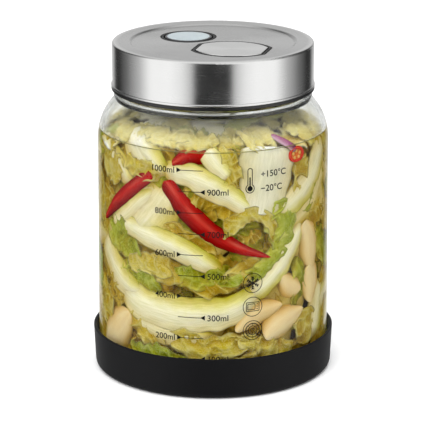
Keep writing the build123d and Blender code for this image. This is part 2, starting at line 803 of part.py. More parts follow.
# Vent button: a soft domed cap pulled over a hard core
vent_edge_z = dish_z + vent_proud
vent_top_z = vent_edge_z + vent_dome
vent_dome_start_r = vent_button_r - vent_edge_r
vent_edge_low_z = vent_edge_z - vent_edge_r
vent_dome_r = (vent_dome_start_r**2 + vent_dome**2) / (2 * vent_dome)
with BuildPart() as vent_button:
    with BuildSketch(vent_plane):
        with BuildLine():
            Polyline(
                (0, vent_core_top_z),
                (vent_core_r + vent_core_gap, vent_core_top_z),
                (vent_core_r + vent_core_gap, vent_catch_top_z),
                (vent_button_r, vent_catch_top_z),
                (vent_button_r, vent_edge_low_z),
            )
            RadiusArc((vent_button_r, vent_edge_low_z), (vent_dome_start_r, vent_edge_z), -vent_edge_r)
            RadiusArc((vent_dome_start_r, vent_edge_z), (0, vent_top_z), -vent_dome_r)
            Line((0, vent_top_z), (0, vent_core_top_z))
        make_face()
    revolve(axis=vent_axis)
save(vent_button, "vent_button")

# Vent core: drum, catch and the stem that pushes the valve
vent_push_z = vent_throat_low_z + vent_push_room + vent_stroke
with BuildPart() as vent_core:
    with BuildSketch(vent_plane):
        with BuildLine():
            Polyline(
                (0, vent_core_top_z),
                (vent_core_r, vent_core_top_z),
                (vent_core_r, vent_catch_top_z),
                (vent_catch_r, vent_catch_top_z),
                (vent_catch_r, vent_catch_low_z),
                (vent_stem_r, vent_catch_low_z),
                (vent_stem_r, vent_push_z),
                (0, vent_push_z),
                close=True,
            )
        make_face()
    revolve(axis=vent_axis)
save(vent_core, "vent_core")

# Vent seat: the plug under the throat that holds the outlet valve
with BuildPart() as vent_seat:
    with BuildSketch(level(vent_x, vent_y, vent_seat_low_z)):
        Circle(vent_seat_flange_r)
    extrude(amount=vent_seat_flange)
    with BuildSketch(level(vent_x, vent_y, vent_throat_low_z)):
        Circle(vent_seat_r)
        Circle(vent_seat_inner_r, mode=Mode.SUBTRACT)
    extrude(amount=vent_seat_rise)
    with BuildSketch(level(vent_x, vent_y, vent_seat_low_z)):
        Circle(valve_hole_r)
        with PolarLocations(valve_port_pitch_r, valve_port_count):
            Circle(valve_port_r)
    extrude(amount=vent_seat_flange, mode=Mode.SUBTRACT)
    with BuildSketch(level(vent_x, vent_y, vent_throat_low_z)):
        Circle(vent_seal_r + groove_r)
        Circle(vent_seal_r - groove_r, mode=Mode.SUBTRACT)
    extrude(amount=-(groove_r + seal_section_r), mode=Mode.SUBTRACT)
save(vent_seat, "vent_seat")
save(round_seal(vent_plane, vent_axis, vent_seal_r, vent_throat_low_z), "vent_seat_seal")
save(one_way_valve(vent_plane, vent_axis, vent_throat_low_z, vent_seat_flange), "vent_valve")


def helix_point(x, y, low_z, mean_r, pitch, turn):
    """Centre of the wire after a number of turns, and the wire's direction there."""
    angle = math.tau * turn
    place = Vector(x + mean_r * math.cos(angle), y + mean_r * math.sin(angle), low_z + pitch * turn)
    slope = pitch / math.tau
    along = Vector(-mean_r * math.sin(angle), mean_r * math.cos(angle), slope)
    return place, along.normalized()


def coil_spring(x, y, low_z, high_z, mean_r, wire_r, turns):
    """One unbroken round wire wound upward, each half turn as two arcs that meet in line."""
    pitch = (high_z - low_z - wire_r - wire_r) / turns
    with BuildPart() as spring:
        with BuildLine() as wire:
            for half in range(turns * 2):
                start, start_way = helix_point(x, y, low_z + wire_r, mean_r, pitch, half / 2)
                end, end_way = helix_point(x, y, low_z + wire_r, mean_r, pitch, half / 2 + 1 / 2)
                chord = end - start
                both = start_way + end_way
                bend = 2 * (start_way.dot(end_way) - 1)
                across = -2 * chord.dot(both)
                reach = (-across - math.sqrt(across**2 - 4 * bend * chord.dot(chord))) / (2 * bend)
                meet = (start + end + (start_way - end_way) * reach) / 2
                first = TangentArc(start, meet, tangent=start_way)
                TangentArc(meet, end, tangent=first % 1)
        with BuildSketch(Plane(origin=wire.line @ 0, z_dir=wire.line % 0)):
            Circle(wire_r)
        sweep(path=wire.line)
    print("spring: gap between turns", round(pitch - wire_r - wire_r, 3))
    return spring


pump_spring = coil_spring(
    pump_x,
    pump_y,
    ledge_z + spring_seat_gap,
    button_low_z - spring_seat_gap,
    pump_spring_r,
    pump_wire_r,
    pump_spring_turns,
)
save(pump_spring, "pump_spring")
vent_spring = coil_spring(
    vent_x,
    vent_y,
    vent_pocket_floor_z + spring_seat_gap,
    vent_catch_low_z - spring_seat_gap,
    vent_spring_r,
    vent_wire_r,
    vent_spring_turns,
)
save(vent_spring, "vent_spring")
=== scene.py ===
import logging
import math
from dataclasses import dataclass, field
from enum import Enum
from functools import partial
from typing import Callable, Iterator, Sequence

import bmesh
import bpy
import numpy as np
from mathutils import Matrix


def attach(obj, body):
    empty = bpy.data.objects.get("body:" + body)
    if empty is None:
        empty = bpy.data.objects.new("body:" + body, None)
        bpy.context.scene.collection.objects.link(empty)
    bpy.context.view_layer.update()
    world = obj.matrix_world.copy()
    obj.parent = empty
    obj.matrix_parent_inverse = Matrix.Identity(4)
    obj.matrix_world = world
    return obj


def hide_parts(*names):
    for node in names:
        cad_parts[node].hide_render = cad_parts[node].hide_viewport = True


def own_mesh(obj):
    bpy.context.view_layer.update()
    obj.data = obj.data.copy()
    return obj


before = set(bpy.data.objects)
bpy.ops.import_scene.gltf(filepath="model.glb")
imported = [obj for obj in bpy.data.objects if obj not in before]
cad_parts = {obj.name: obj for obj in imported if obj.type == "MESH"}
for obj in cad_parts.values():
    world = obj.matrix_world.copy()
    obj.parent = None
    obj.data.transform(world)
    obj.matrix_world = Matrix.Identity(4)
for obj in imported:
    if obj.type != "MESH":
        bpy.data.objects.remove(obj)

log = logging.getLogger("fermentation_jar")
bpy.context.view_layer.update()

Colour = tuple[float, float, float, float]
Pair = tuple[float, float]
Adder = Callable[..., bpy.types.Node]

# Sizes are in millimetres, and MM turns them into Blender's metres.
MM = 0.001
# The inside of the glass as the food meets it: a wall, the shoulder's arc and the heel's arc.
FOOD_R = 54.7
SHOULDER_Z = 118.0
SHOULDER_ARC = 24.2
HEEL_Z = 15.2
HEEL_ARC = 6.2
# The brine's level, and the rim where the heap on top of the food folds inwards.
BRINE_Z = 123.0
HEAP_RIM_Z = 121.5
HEAP_RIM_R = 9.5
# The dome of the heap: its middle, and how fast it falls with the square of the way out.
HEAP_TOP_Z = 136.5
HEAP_FALL = 0.0042
# The most faces of a joined piece, as four-sided faces.
MOST_FACES = 90_000
# Marks of a piece that has no leaf, crease or thin edge of its own.
PLAIN = {"leafy": np.float32(0.4), "crease": np.float32(0.0), "cover": np.float32(1.0)}


# Small tools for colours, nodes and numbers


def linear(hex_colour: str, share: float = 1.0) -> Colour:
    """Turns an sRGB hex value into a linear colour.

    Args:
        hex_colour: a hash and six hex digits.
        share: what the colour is multiplied by, up to full brightness.

    Returns:
        Red, green, blue and an alpha of one.
    """
    levels = np.array([int(hex_colour[i : i + 2], 16) for i in (1, 3, 5)]) / 255
    values = np.where(levels <= 0.04045, levels / 12.92, ((levels + 0.055) / 1.055) ** 2.4)
    return (*np.minimum(values * share, 1.0).tolist(), 1.0)


def feed(node: bpy.types.Node, inputs: dict[str | int, object]) -> None:
    """Sets or links inputs of a node.

    Args:
        node: the node.
        inputs: input name or number to a value, to an output socket, or to a node whose
            first output is linked.
    """
    for key, value in inputs.items():
        source = value.outputs[0] if isinstance(value, bpy.types.Node) else value
        if isinstance(source, bpy.types.NodeSocket):
            node.id_data.links.new(source, node.inputs[key])
        else:
            node.inputs[key].default_value = source


def add(
    tree: bpy.types.NodeTree,
    kind: str,
    inputs: dict[str | int, object] | None = None,
    stops: Sequence[tuple[float, float | Colour]] = (),
    **settings: object,
) -> bpy.types.Node:
    """Adds one node with its settings and links.

    Args:
        tree: the node tree that gets the node.
        kind: Blender's name of the node type, without its first two words.
        inputs: what its inputs are set or linked to.
        stops: places of a colour ramp, each with a grey level or a linear colour.
        settings: properties of the node.

    Returns:
        The new node.
    """
    made = tree.nodes.new("ShaderNode" + kind)
    for key, value in settings.items():
        setattr(made, key, value)
    if stops:
        elements = made.color_ramp.elements
        while len(elements) < len(stops):
            elements.new(0.5)
        for element, (at, shade) in zip(elements, stops):
            element.position = at
            element.color = shade if isinstance(shade, tuple) else (shade, shade, shade, 1.0)
    feed(made, inputs or {})
    return made


def new_material(name: str) -> tuple[bpy.types.Material, Adder, bpy.types.Node]:
    """Makes a node material that has only a principled shader, linked to its output.

    Args:
        name: name of the material.

    Returns:
        The material, the function that adds a node to it, and its principled shader.
    """
    material = bpy.data.materials.new(name)
    material.use_nodes = True
    material.node_tree.nodes.clear()
    node = partial(add, material.node_tree)
    shader = node("BsdfPrincipled")
    node("OutputMaterial", {"Surface": shader})
    return material, node, shader


def show(material: bpy.types.Material, shader: bpy.types.Node) -> None:
    """Links a shader to a material's output, in the place of the one that was there."""
    output = next(node for node in material.node_tree.nodes if node.type == "OUTPUT_MATERIAL")
    feed(output, {"Surface": shader})


def place(node: Adder, scale: tuple[float, float, float] = (1, 1, 1)) -> bpy.types.Node:
    """Gives a pattern its place on the piece.

    Args:
        node: adds a node to the material.
        scale: what each direction is stretched by.

    Returns:
        A node with the object's own coordinates, in millimetres times the scale.
    """
    where = node("TexCoord").outputs["Object"]
    return node("Mapping", {"Vector": where, "Scale": tuple(value / MM for value in scale)})


def axis_distance(node: Adder, centre: Pair = (0.0, 0.0)) -> bpy.types.NodeSocket:
    """Measures how far a point is from an upright line: the length of (x - x0, y - y0, 0).

    Args:
        node: adds a node to the material.
        centre: where the upright line stands.

    Returns:
        The distance in millimetres.
    """
    off = node("VectorMath", {0: place(node), 1: (*centre, 0.0)}, operation="SUBTRACT")
    flat = node("VectorMath", {0: off, 1: (1, 1, 0)}, operation="MULTIPLY")
    return node("VectorMath", {0: flat}, operation="LENGTH").outputs["Value"]


def circle(count: int) -> np.ndarray:
    """Angles of evenly spaced points on a full turn, in radians."""
    return np.linspace(0, math.tau, count, endpoint=False)


def heading(angle: float) -> tuple[np.ndarray, np.ndarray]:
    """The unit vector at an angle and the one square to it: (cos, sin) and (-sin, cos)."""
    cos, sin = math.cos(angle), math.sin(angle)
    return np.array([cos, sin]), np.array([-sin, cos])


def stacked(*parts: np.ndarray) -> np.ndarray:
    """Spreads arrays to one shape and sets them side by side in a new last direction."""
    return np.stack(np.broadcast_arrays(*parts), -1)


def fall_back(radius: float, reach: np.ndarray) -> np.ndarray:
    """How far an arc has left its tangent at a reach along it: r - sqrt(r² - reach²)."""
    return radius - np.sqrt(radius**2 - reach**2)


def straight(start: Pair, end: Pair, count: int) -> list[Pair]:
    """Evenly spaced points of a straight line, with both its ends."""
    return np.linspace(start, end, count).tolist()


def arc(centre: Pair, radius: float, start: float, end: float, count: int) -> list[Pair]:
    """Gives evenly spaced points of an arc: the centre plus the radius times (cos, sin).

    Args:
        centre: centre of the arc.
        radius: its radius.
        start: the angle that it starts at, in degrees.
        end: the angle that it ends at, in degrees.
        count: number of points.

    Returns:
        The points, with both ends.
    """
    turn = np.radians(np.linspace(start, end, count))
    return list(zip(centre[0] + radius * np.cos(turn), centre[1] + radius * np.sin(turn)))


def smooth_line(points: Sequence[Sequence[float]], count: int) -> np.ndarray:
    """Gives a smooth line through points: a Catmull-Rom cubic in each span between them.

    Args:
        points: two or more points of any dimension.
        count: number of samples, spaced evenly in the number of the span.

    Returns:
        The samples, one row each.
    """
    known = np.array(points, float)
    padded = np.vstack([2 * known[0] - known[1], known, 2 * known[-1] - known[-2]])
    t = np.linspace(0, len(known) - 1, count)
    span = np.minimum(t.astype(int), len(known) - 2)
    u = (t - span)[:, None]
    a, b, c, d = (padded[span + shift] for shift in range(4))
    square, cube = 2 * a - 5 * b + 4 * c - d, 3 * b - a - 3 * c + d
    return 0.5 * (2 * b + (c - a) * u + square * u**2 + cube * u**3)


def ripple(x: np.ndarray, y: np.ndarray, seed: int, waves: int = 7) -> np.ndarray:
    """Gives smooth noise between about -1 and 1: a sum of sine waves of the place.

    Each wave has its own direction, phase and rate, from 0.6 to 1.9 radians for each unit.

    Args:
        x: first coordinate.
        y: second coordinate, of a shape that fits the first.
        seed: seed of the waves.
        waves: number of waves.

    Returns:
        The noise at each place.
    """
    rng = np.random.default_rng(seed)
    total = np.zeros(np.broadcast(x, y).shape)
    for _ in range(waves):
        way, phase = rng.uniform(0, math.tau), rng.uniform(0, math.tau)
        rate = rng.uniform(0.6, 1.9)
        total += np.sin(rate * (x * math.cos(way) + y * math.sin(way)) + phase)
    return total / math.sqrt(waves) / 1.4


# Small tools for meshes and pieces


def surface(
    name: str,
    grid: np.ndarray,
    uv: np.ndarray | None = None,
    round_first: bool = False,
    round_second: bool = False,
    crease: float = 40.0,
    marks: dict[str, np.ndarray] | None = None,
) -> bpy.types.Object:
    """Puts a grid of points into a mesh object with outward faces.

    Each cell of the grid is one face. A direction that closes on itself shares its first and
    last row, and rows that shrink to a point become a pole.

    Args:
        name: name of the piece.
        grid: points in millimetres, of shape (first, second, 3).
        uv: optional pattern coordinates for each point, of shape (first, second, 2).
        round_first: whether the first direction closes on itself.
        round_second: whether the second direction closes on itself.
        crease: edges sharper than this angle, in degrees, stay sharp.
        marks: optional values for each point that the material reads, by name.

    Returns:
        The object, at the origin, in metres.
    """
    rows, columns = grid.shape[:2]
    first = np.arange(rows if round_first else rows - 1)
    second = np.arange(columns if round_second else columns - 1)
    i, j = np.meshgrid(first, second, indexing="ij")
    corners = ((i, j), (i + 1, j), (i + 1, j + 1), (i, j + 1))
    faces = np.stack([(a % rows) * columns + b % columns for a, b in corners], -1)
    mesh = bpy.data.meshes.new(name)
    mesh.from_pydata((grid.reshape(-1, 3) * MM).tolist(), [], faces.reshape(-1, 4).tolist())
    if uv is not None:
        wide = np.pad(uv, ((0, 1), (0, 1), (0, 0)), mode="edge")
        if round_first:
            wide[-1, :, 0] = 1.0
        if round_second:
            wide[:, -1, 1] = 1.0
        loops = np.stack([wide[a, b] for a, b in corners], 2).astype(np.float32)
        mesh.uv_layers.new(name="UVMap").data.foreach_set("uv", loops.ravel())
    for mark, values in (marks or {}).items():
        spread = np.broadcast_to(values, (rows, columns)).astype(np.float32)
        mesh.attributes.new(mark, "FLOAT", "POINT").data.foreach_set("value", spread.ravel())
    return finished(mesh, crease)


def finished(mesh: bpy.types.Mesh, crease: float = 40.0) -> bpy.types.Object:
    """Merges doubled points, turns faces outwards, smooths a mesh and links an object for it.

    Args:
        mesh: the mesh, in metres.
        crease: edges sharper than this angle, in degrees, stay sharp.

    Returns:
        The object.
    """
    work = bmesh.new()
    work.from_mesh(mesh)
    bmesh.ops.remove_doubles(work, verts=work.verts, dist=1e-7)
    bmesh.ops.dissolve_degenerate(work, edges=work.edges, dist=1e-8)
    bmesh.ops.recalc_face_normals(work, faces=work.faces)
    work.to_mesh(mesh)
    work.free()
    mesh.polygons.foreach_set("use_smooth", np.ones(len(mesh.polygons), bool))
    mesh.set_sharp_from_angle(angle=math.radians(crease))
    made = bpy.data.objects.new(mesh.name, mesh)
    bpy.context.scene.collection.objects.link(made)
    return made


def turned(profile: Sequence[Sequence[float]], steps: int = 256) -> np.ndarray:
    """Carries a profile round the jar's axis: each point (r, z) becomes a circle at height z.

    Args:
        profile: radius and height of each point, in millimetres.
        steps: points in each circle.

    Returns:
        The grid, profile point first and step second.
    """
    line, turn = np.array(profile, float), circle(steps)
    return stacked(
        np.outer(line[:, 0], np.cos(turn)), np.outer(line[:, 0], np.sin(turn)), line[:, 1:2]
    )


def joined(name: str, parts: Sequence[bpy.types.Object]) -> bpy.types.Object:
    """Joins objects into the first of them.

    Args:
        name: name of the result.
        parts: the objects, one or more.

    Returns:
        The joined object.
    """
    first, every = parts[0], list(parts)
    if len(every) > 1:
        chosen = {"selected_objects": every, "selected_editable_objects": every}
        with bpy.context.temp_override(active_object=first, object=first, **chosen):
            bpy.ops.object.join()
    first.name = name
    first.data.name = name
    return first


def keep(
    piece: bpy.types.Object,
    body: str,
    material: bpy.types.Material,
    nodes: Sequence[str] = (),
) -> bpy.types.Object:
    """Dresses a new piece and ties it to what it belongs to.

    Args:
        piece: the piece.
        body: the body that it rides on.
        material: the only material that it gets.
        nodes: the nodes that it stands for.

    Returns:
        The piece.
    """
    piece.data.materials.clear()
    piece.data.materials.append(material)
    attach(piece, body)
    if nodes:
        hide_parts(*nodes)
    log.info("%s: %d faces, rides on %s", piece.name, len(piece.data.polygons), body)
    return piece


def dress_node(name: str, material: bpy.types.Material) -> None:
    """Gives a node that keeps its shape a material, in the place of the one it came with.

    Args:
        name: name of the node.
        material: the only material that it gets.
    """
    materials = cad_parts[name].data.materials
    materials.clear()
    materials.append(material)
    log.info("%s: %s", name, material.name)


# Finishes of the jar and its lid


@dataclass(frozen=True)
class BrushedSteel:
    """Stainless steel sheet, drawn and then brushed round its axis.

    The eye sees highlights that fan out softly from the middle, because light spreads across
    the brush lines. Real lines are finer than a pixel, so they are drawn 0.35 mm apart. The
    share `top` is painted shade: inside top_r the colour is darkened to that share of the rolled
    edge's, for a flat top that catches less light.
    """

    name: str
    centre: Pair = (0.0, 0.0)
    colour: str = "#CFCFCE"
    roughness: float = 0.25
    spread: float = 0.04
    stretch: float = 0.8
    line_mm: float = 0.35
    patch_mm: float = 11.111
    line_depth_mm: float = 0.02
    top: float = 1.0
    top_r: float = 46.5
    edge_r: float = 48.5

    def build(self) -> bpy.types.Material:
        """Makes the material. Its tangent is the upright direction crossed with the way out.

        Returns:
            The material.
        """
        material, node, shader = new_material(self.name)
        here, radius = place(node), axis_distance(node, self.centre)
        out = node("VectorMath", {0: here, 1: (*self.centre, 0.0)}, operation="SUBTRACT")
        around = node("VectorMath", {0: (0, 0, 1), 1: out}, operation="CROSS_PRODUCT")
        unit = node("VectorMath", {0: around}, operation="NORMALIZE")
        to_world = {"vector_type": "VECTOR", "convert_from": "OBJECT", "convert_to": "WORLD"}
        tangent = node("VectorTransform", {"Vector": unit}, **to_world)
        height = node("SeparateXYZ", {"Vector": here}).outputs["Z"]
        lines_at = node("CombineXYZ", {"X": radius, "Y": height})
        line_scale = {"Scale": 1 / self.line_mm, "Detail": 3.0, "Roughness": 0.7}
        lines = node("TexNoise", {"Vector": lines_at, **line_scale})
        patches = node("TexNoise", {"Vector": here, "Scale": 1 / self.patch_mm, "Detail": 2.0})
        streak = node("Math", {0: lines, 1: patches}, operation="MULTIPLY")
        low, high = self.roughness - self.spread, self.roughness + self.spread
        most = {"From Min": 0.15, "From Max": 0.4, "To Min": low, "To Max": high}
        rough = node("MapRange", {"Value": streak, **most})
        stops = ((0.1, linear(self.colour, 0.93)), (0.4, linear(self.colour)))
        drawn = node("ValToRGB", {"Fac": streak}, stops)
        # Painted shade: inside top_r the flat top is darkened to the share `top` of the rolled
        # edge.
        reach = {"From Min": self.top_r, "From Max": self.edge_r, "To Min": self.top}
        inward = node("MapRange", {"Value": radius, **reach})
        times = {"data_type": "RGBA", "blend_type": "MULTIPLY"}
        shade = node("Mix", {0: 1.0, 6: drawn, 7: inward}, **times).outputs[2]
        relief = {"Strength": 0.05, "Distance": self.line_depth_mm * MM}
        feed(shader, {
            "Base Color": shade,
            "Roughness": rough,
            "Normal": node("Bump", {"Height": lines, **relief}),
            "Tangent": tangent,
            "Metallic": 1.0,
            "Anisotropic": self.stretch,
            "Anisotropic Rotation": 0.25,
        })
        return material


@dataclass(frozen=True)
class Moulded:
    """Moulded plastic or rubber.

    The eye sees one even colour with a faint cloud in it, and a soft gloss that a fine grain
    breaks up. Outside a rim, given by its centre and radius, the colour is painted near black, a
    painted shade for the dark gap round the part. A glow is light that goes into the material
    and comes out again, and a bloom is the dust on soft rubber.
    """

    name: str
    colour: str
    roughness: float
    grain_mm: float
    relief_mm: float
    glow: float = 0.0
    glow_mm: tuple[float, float, float] = (4.0, 4.0, 5.0)
    cloud: float = 0.12
    cloud_mm: float = 20.0
    ior: float = 1.5
    bloom: float = 0.0
    rim: tuple[float, float, float] | None = None
    rim_colour: str = "#17181A"
    rim_edge: float = 0.1

    def build(self) -> bpy.types.Material:
        """Makes the material from the grain's size in millimetres.

        Returns:
            The material.
        """
        material, node, shader = new_material(self.name)
        here = place(node)
        grain = node("TexNoise", {"Vector": here, "Scale": 1 / self.grain_mm, "Detail": 2.0})
        wide = node("TexNoise", {"Vector": here, "Scale": 1 / self.cloud_mm, "Detail": 3.0})
        dim, lit = linear(self.colour, 1 - self.cloud), linear(self.colour, 1 + self.cloud)
        shade = node("ValToRGB", {"Fac": wide}, ((0.35, dim), (0.65, lit)))
        # Painted shade: outside the rim the colour turns near black, for the dark gap round the
        # part.
        if self.rim:
            x, y, rim_r = self.rim
            edge = {"From Min": rim_r - self.rim_edge, "From Max": rim_r + self.rim_edge}
            outer = node("MapRange", {"Value": axis_distance(node, (x, y)), **edge})
            inputs = {0: outer, 6: shade, 7: linear(self.rim_colour)}
            shade = node("Mix", inputs, data_type="RGBA").outputs[2]
        low, high = self.roughness - 0.05, self.roughness + 0.05
        ends = {"From Min": 0.3, "From Max": 0.7, "To Min": low, "To Max": high}
        relief = {"Strength": 0.6, "Distance": self.relief_mm * MM}
        feed(shader, {
            "Base Color": shade,
            "Roughness": node("MapRange", {"Value": wide, **ends}),
            "Normal": node("Bump", {"Height": grain, **relief}),
            "IOR": self.ior,
            "Sheen Weight": self.bloom,
            "Sheen Roughness": 0.4,
        })
        if self.glow:
            feed(shader, {
                "Subsurface Weight": self.glow,
                "Subsurface Radius": tuple(depth * MM for depth in self.glow_mm),
                "Subsurface Scale": 0.5,
            })
        return material


@dataclass(frozen=True)
class TurnedMetal:
    """Machined or drawn bright metal: the eye sees sharp reflections with faint tool marks."""

    name: str
    colour: str
    roughness: float
    marks: tuple[float, float, float] = (0.4, 0.4, 3.0)

    def build(self) -> bpy.types.Material:
        """Makes the material with marks about a third of a millimetre apart.

        Returns:
            The material.
        """
        material, node, shader = new_material(self.name)
        marks = node("TexNoise", {"Vector": place(node, self.marks), "Scale": 1.0, "Detail": 3.0})
        ends = {"To Min": self.roughness - 0.06, "To Max": self.roughness + 0.08}
        feed(shader, {
            "Base Color": linear(self.colour),
            "Metallic": 1.0,
            "Roughness": node("MapRange", {"Value": marks, **ends}),
            "Normal": node("Bump", {"Height": marks, "Strength": 0.1, "Distance": 0.02 * MM}),
        })
        return material


def let_lamps_through(material: bpy.types.Material, node: Adder, shader: bpy.types.Node) -> None:
    """Makes a glassy material clear for shadows, so that lamps light what is behind it.

    Args:
        material: the material.
        node: adds a node to it.
        shader: its glassy shader.
    """
    clear = node("BsdfTransparent", {"Color": linear("#FCFDFC")})
    shadow = node("LightPath").outputs["Is Shadow Ray"]
    show(material, node("MixShader", {0: shadow, 1: shader, 2: clear}))


@dataclass(frozen=True)
class ClearBody:
    """Soda lime glass blown in a mould, or still brine.

    The eye sees through it, with a faint tint, bent edges and very slow waves. It mirrors
    less as high as the brine stands, so that the food shows.
    """

    name: str = "soda_lime_glass_blown"
    tint: str = "#FBFEFC"
    wave_mm: float = 16.0
    wave_depth_mm: float = 0.5
    ior: float = 1.5
    mirror: float = 0.25

    def build(self) -> bpy.types.Material:
        """Makes the material, whose mirroring rises just above the brine's level.

        Returns:
            The material.
        """
        material, node, shader = new_material(self.name)
        height = node("SeparateXYZ", {"Vector": place(node)}).outputs["Z"]
        rise = {"From Min": BRINE_Z - 2, "From Max": BRINE_Z + 8, "To Min": self.mirror}
        waves = {"Scale": 1 / self.wave_mm, "Detail": 1.0}
        wave = node("TexNoise", {"Vector": place(node), **waves})
        relief = {"Strength": 0.15, "Distance": self.wave_depth_mm * MM}
        feed(shader, {
            "Base Color": linear(self.tint),
            "Roughness": 0.0,
            "IOR": self.ior,
            "Transmission Weight": 1.0,
            "Specular Tint": node("MapRange", {"Value": height, **rise}),
            "Normal": node("Bump", {"Height": wave, **relief}),
        })
        let_lamps_through(material, node, shader)
        return material


@dataclass(frozen=True)
class WettedGlass:
    """The inside of the glass with brine on it.

    Glass and brine bend light almost alike, so the eye sees nothing of this face.
    """

    name: str = "glass_wetted_by_brine"

    def build(self) -> bpy.types.Material:
        """Makes the material, which lets everything through.

        Returns:
            The material.
        """
        material, _, shader = new_material(self.name)
        feed(shader, {"Base Color": linear("#FFFFFF"), "Alpha": 0.0})
        return material


@dataclass(frozen=True)
class MistedGlass:
    """The inside of the glass above the brine.

    Fine drops of condensed water on it blur what lies behind, more in some patches.
    """

    name: str = "glass_misted_inside"
    patch_mm: float = 8.333
    least: float = 0.08
    most: float = 0.22
    mirror: str = "#959595"

    def build(self) -> bpy.types.Material:
        """Makes the material, whose roughness follows the patches of drops.

        Returns:
            The material.
        """
        material, node, shader = new_material(self.name)
        patches = {"Scale": 1 / self.patch_mm, "Detail": 3.0}
        drops = node("TexNoise", {"Vector": place(node), **patches})
        ends = {"From Min": 0.35, "From Max": 0.65, "To Min": self.least, "To Max": self.most}
        feed(shader, {
            "Roughness": node("MapRange", {"Value": drops, **ends}),
            "Base Color": linear("#FFFFFF"),
            "IOR": 1.5,
            "Specular Tint": linear(self.mirror),
            "Transmission Weight": 1.0,
        })
        let_lamps_through(material, node, shader)
        return material


@dataclass(frozen=True)
class BrineSide:
    """The side of the still brine.

    The eye sees it pale straight on and amber where it looks along it. The light that falls
    through it is less amber, because it comes in from all sides.
    """

    name: str = "brine_amber_side"
    shades: tuple[tuple[float, str], ...] = ((0.1, "#FEFCF0"), (0.6, "#F6EABC"), (0.95, "#D7C06F"))
    lit: str = "#F9F5DF"

    def build(self) -> bpy.types.Material:
        """Makes the material, a clear wall whose tint follows the angle of sight.

        Returns:
            The material.
        """
        material, node, shader = new_material(self.name)
        facing = node("LayerWeight", {"Blend": 0.5}).outputs["Facing"]
        amber = node("ValToRGB", {"Fac": facing}, [(at, linear(hue)) for at, hue in self.shades])
        shadow = node("LightPath").outputs["Is Shadow Ray"]
        tint = node("Mix", {0: shadow, 6: amber, 7: linear(self.lit)}, data_type="RGBA")
        show(material, node("BsdfTransparent", {"Color": tint.outputs[2]}))
        material.node_tree.nodes.remove(shader)
        return material


# Finish of the food


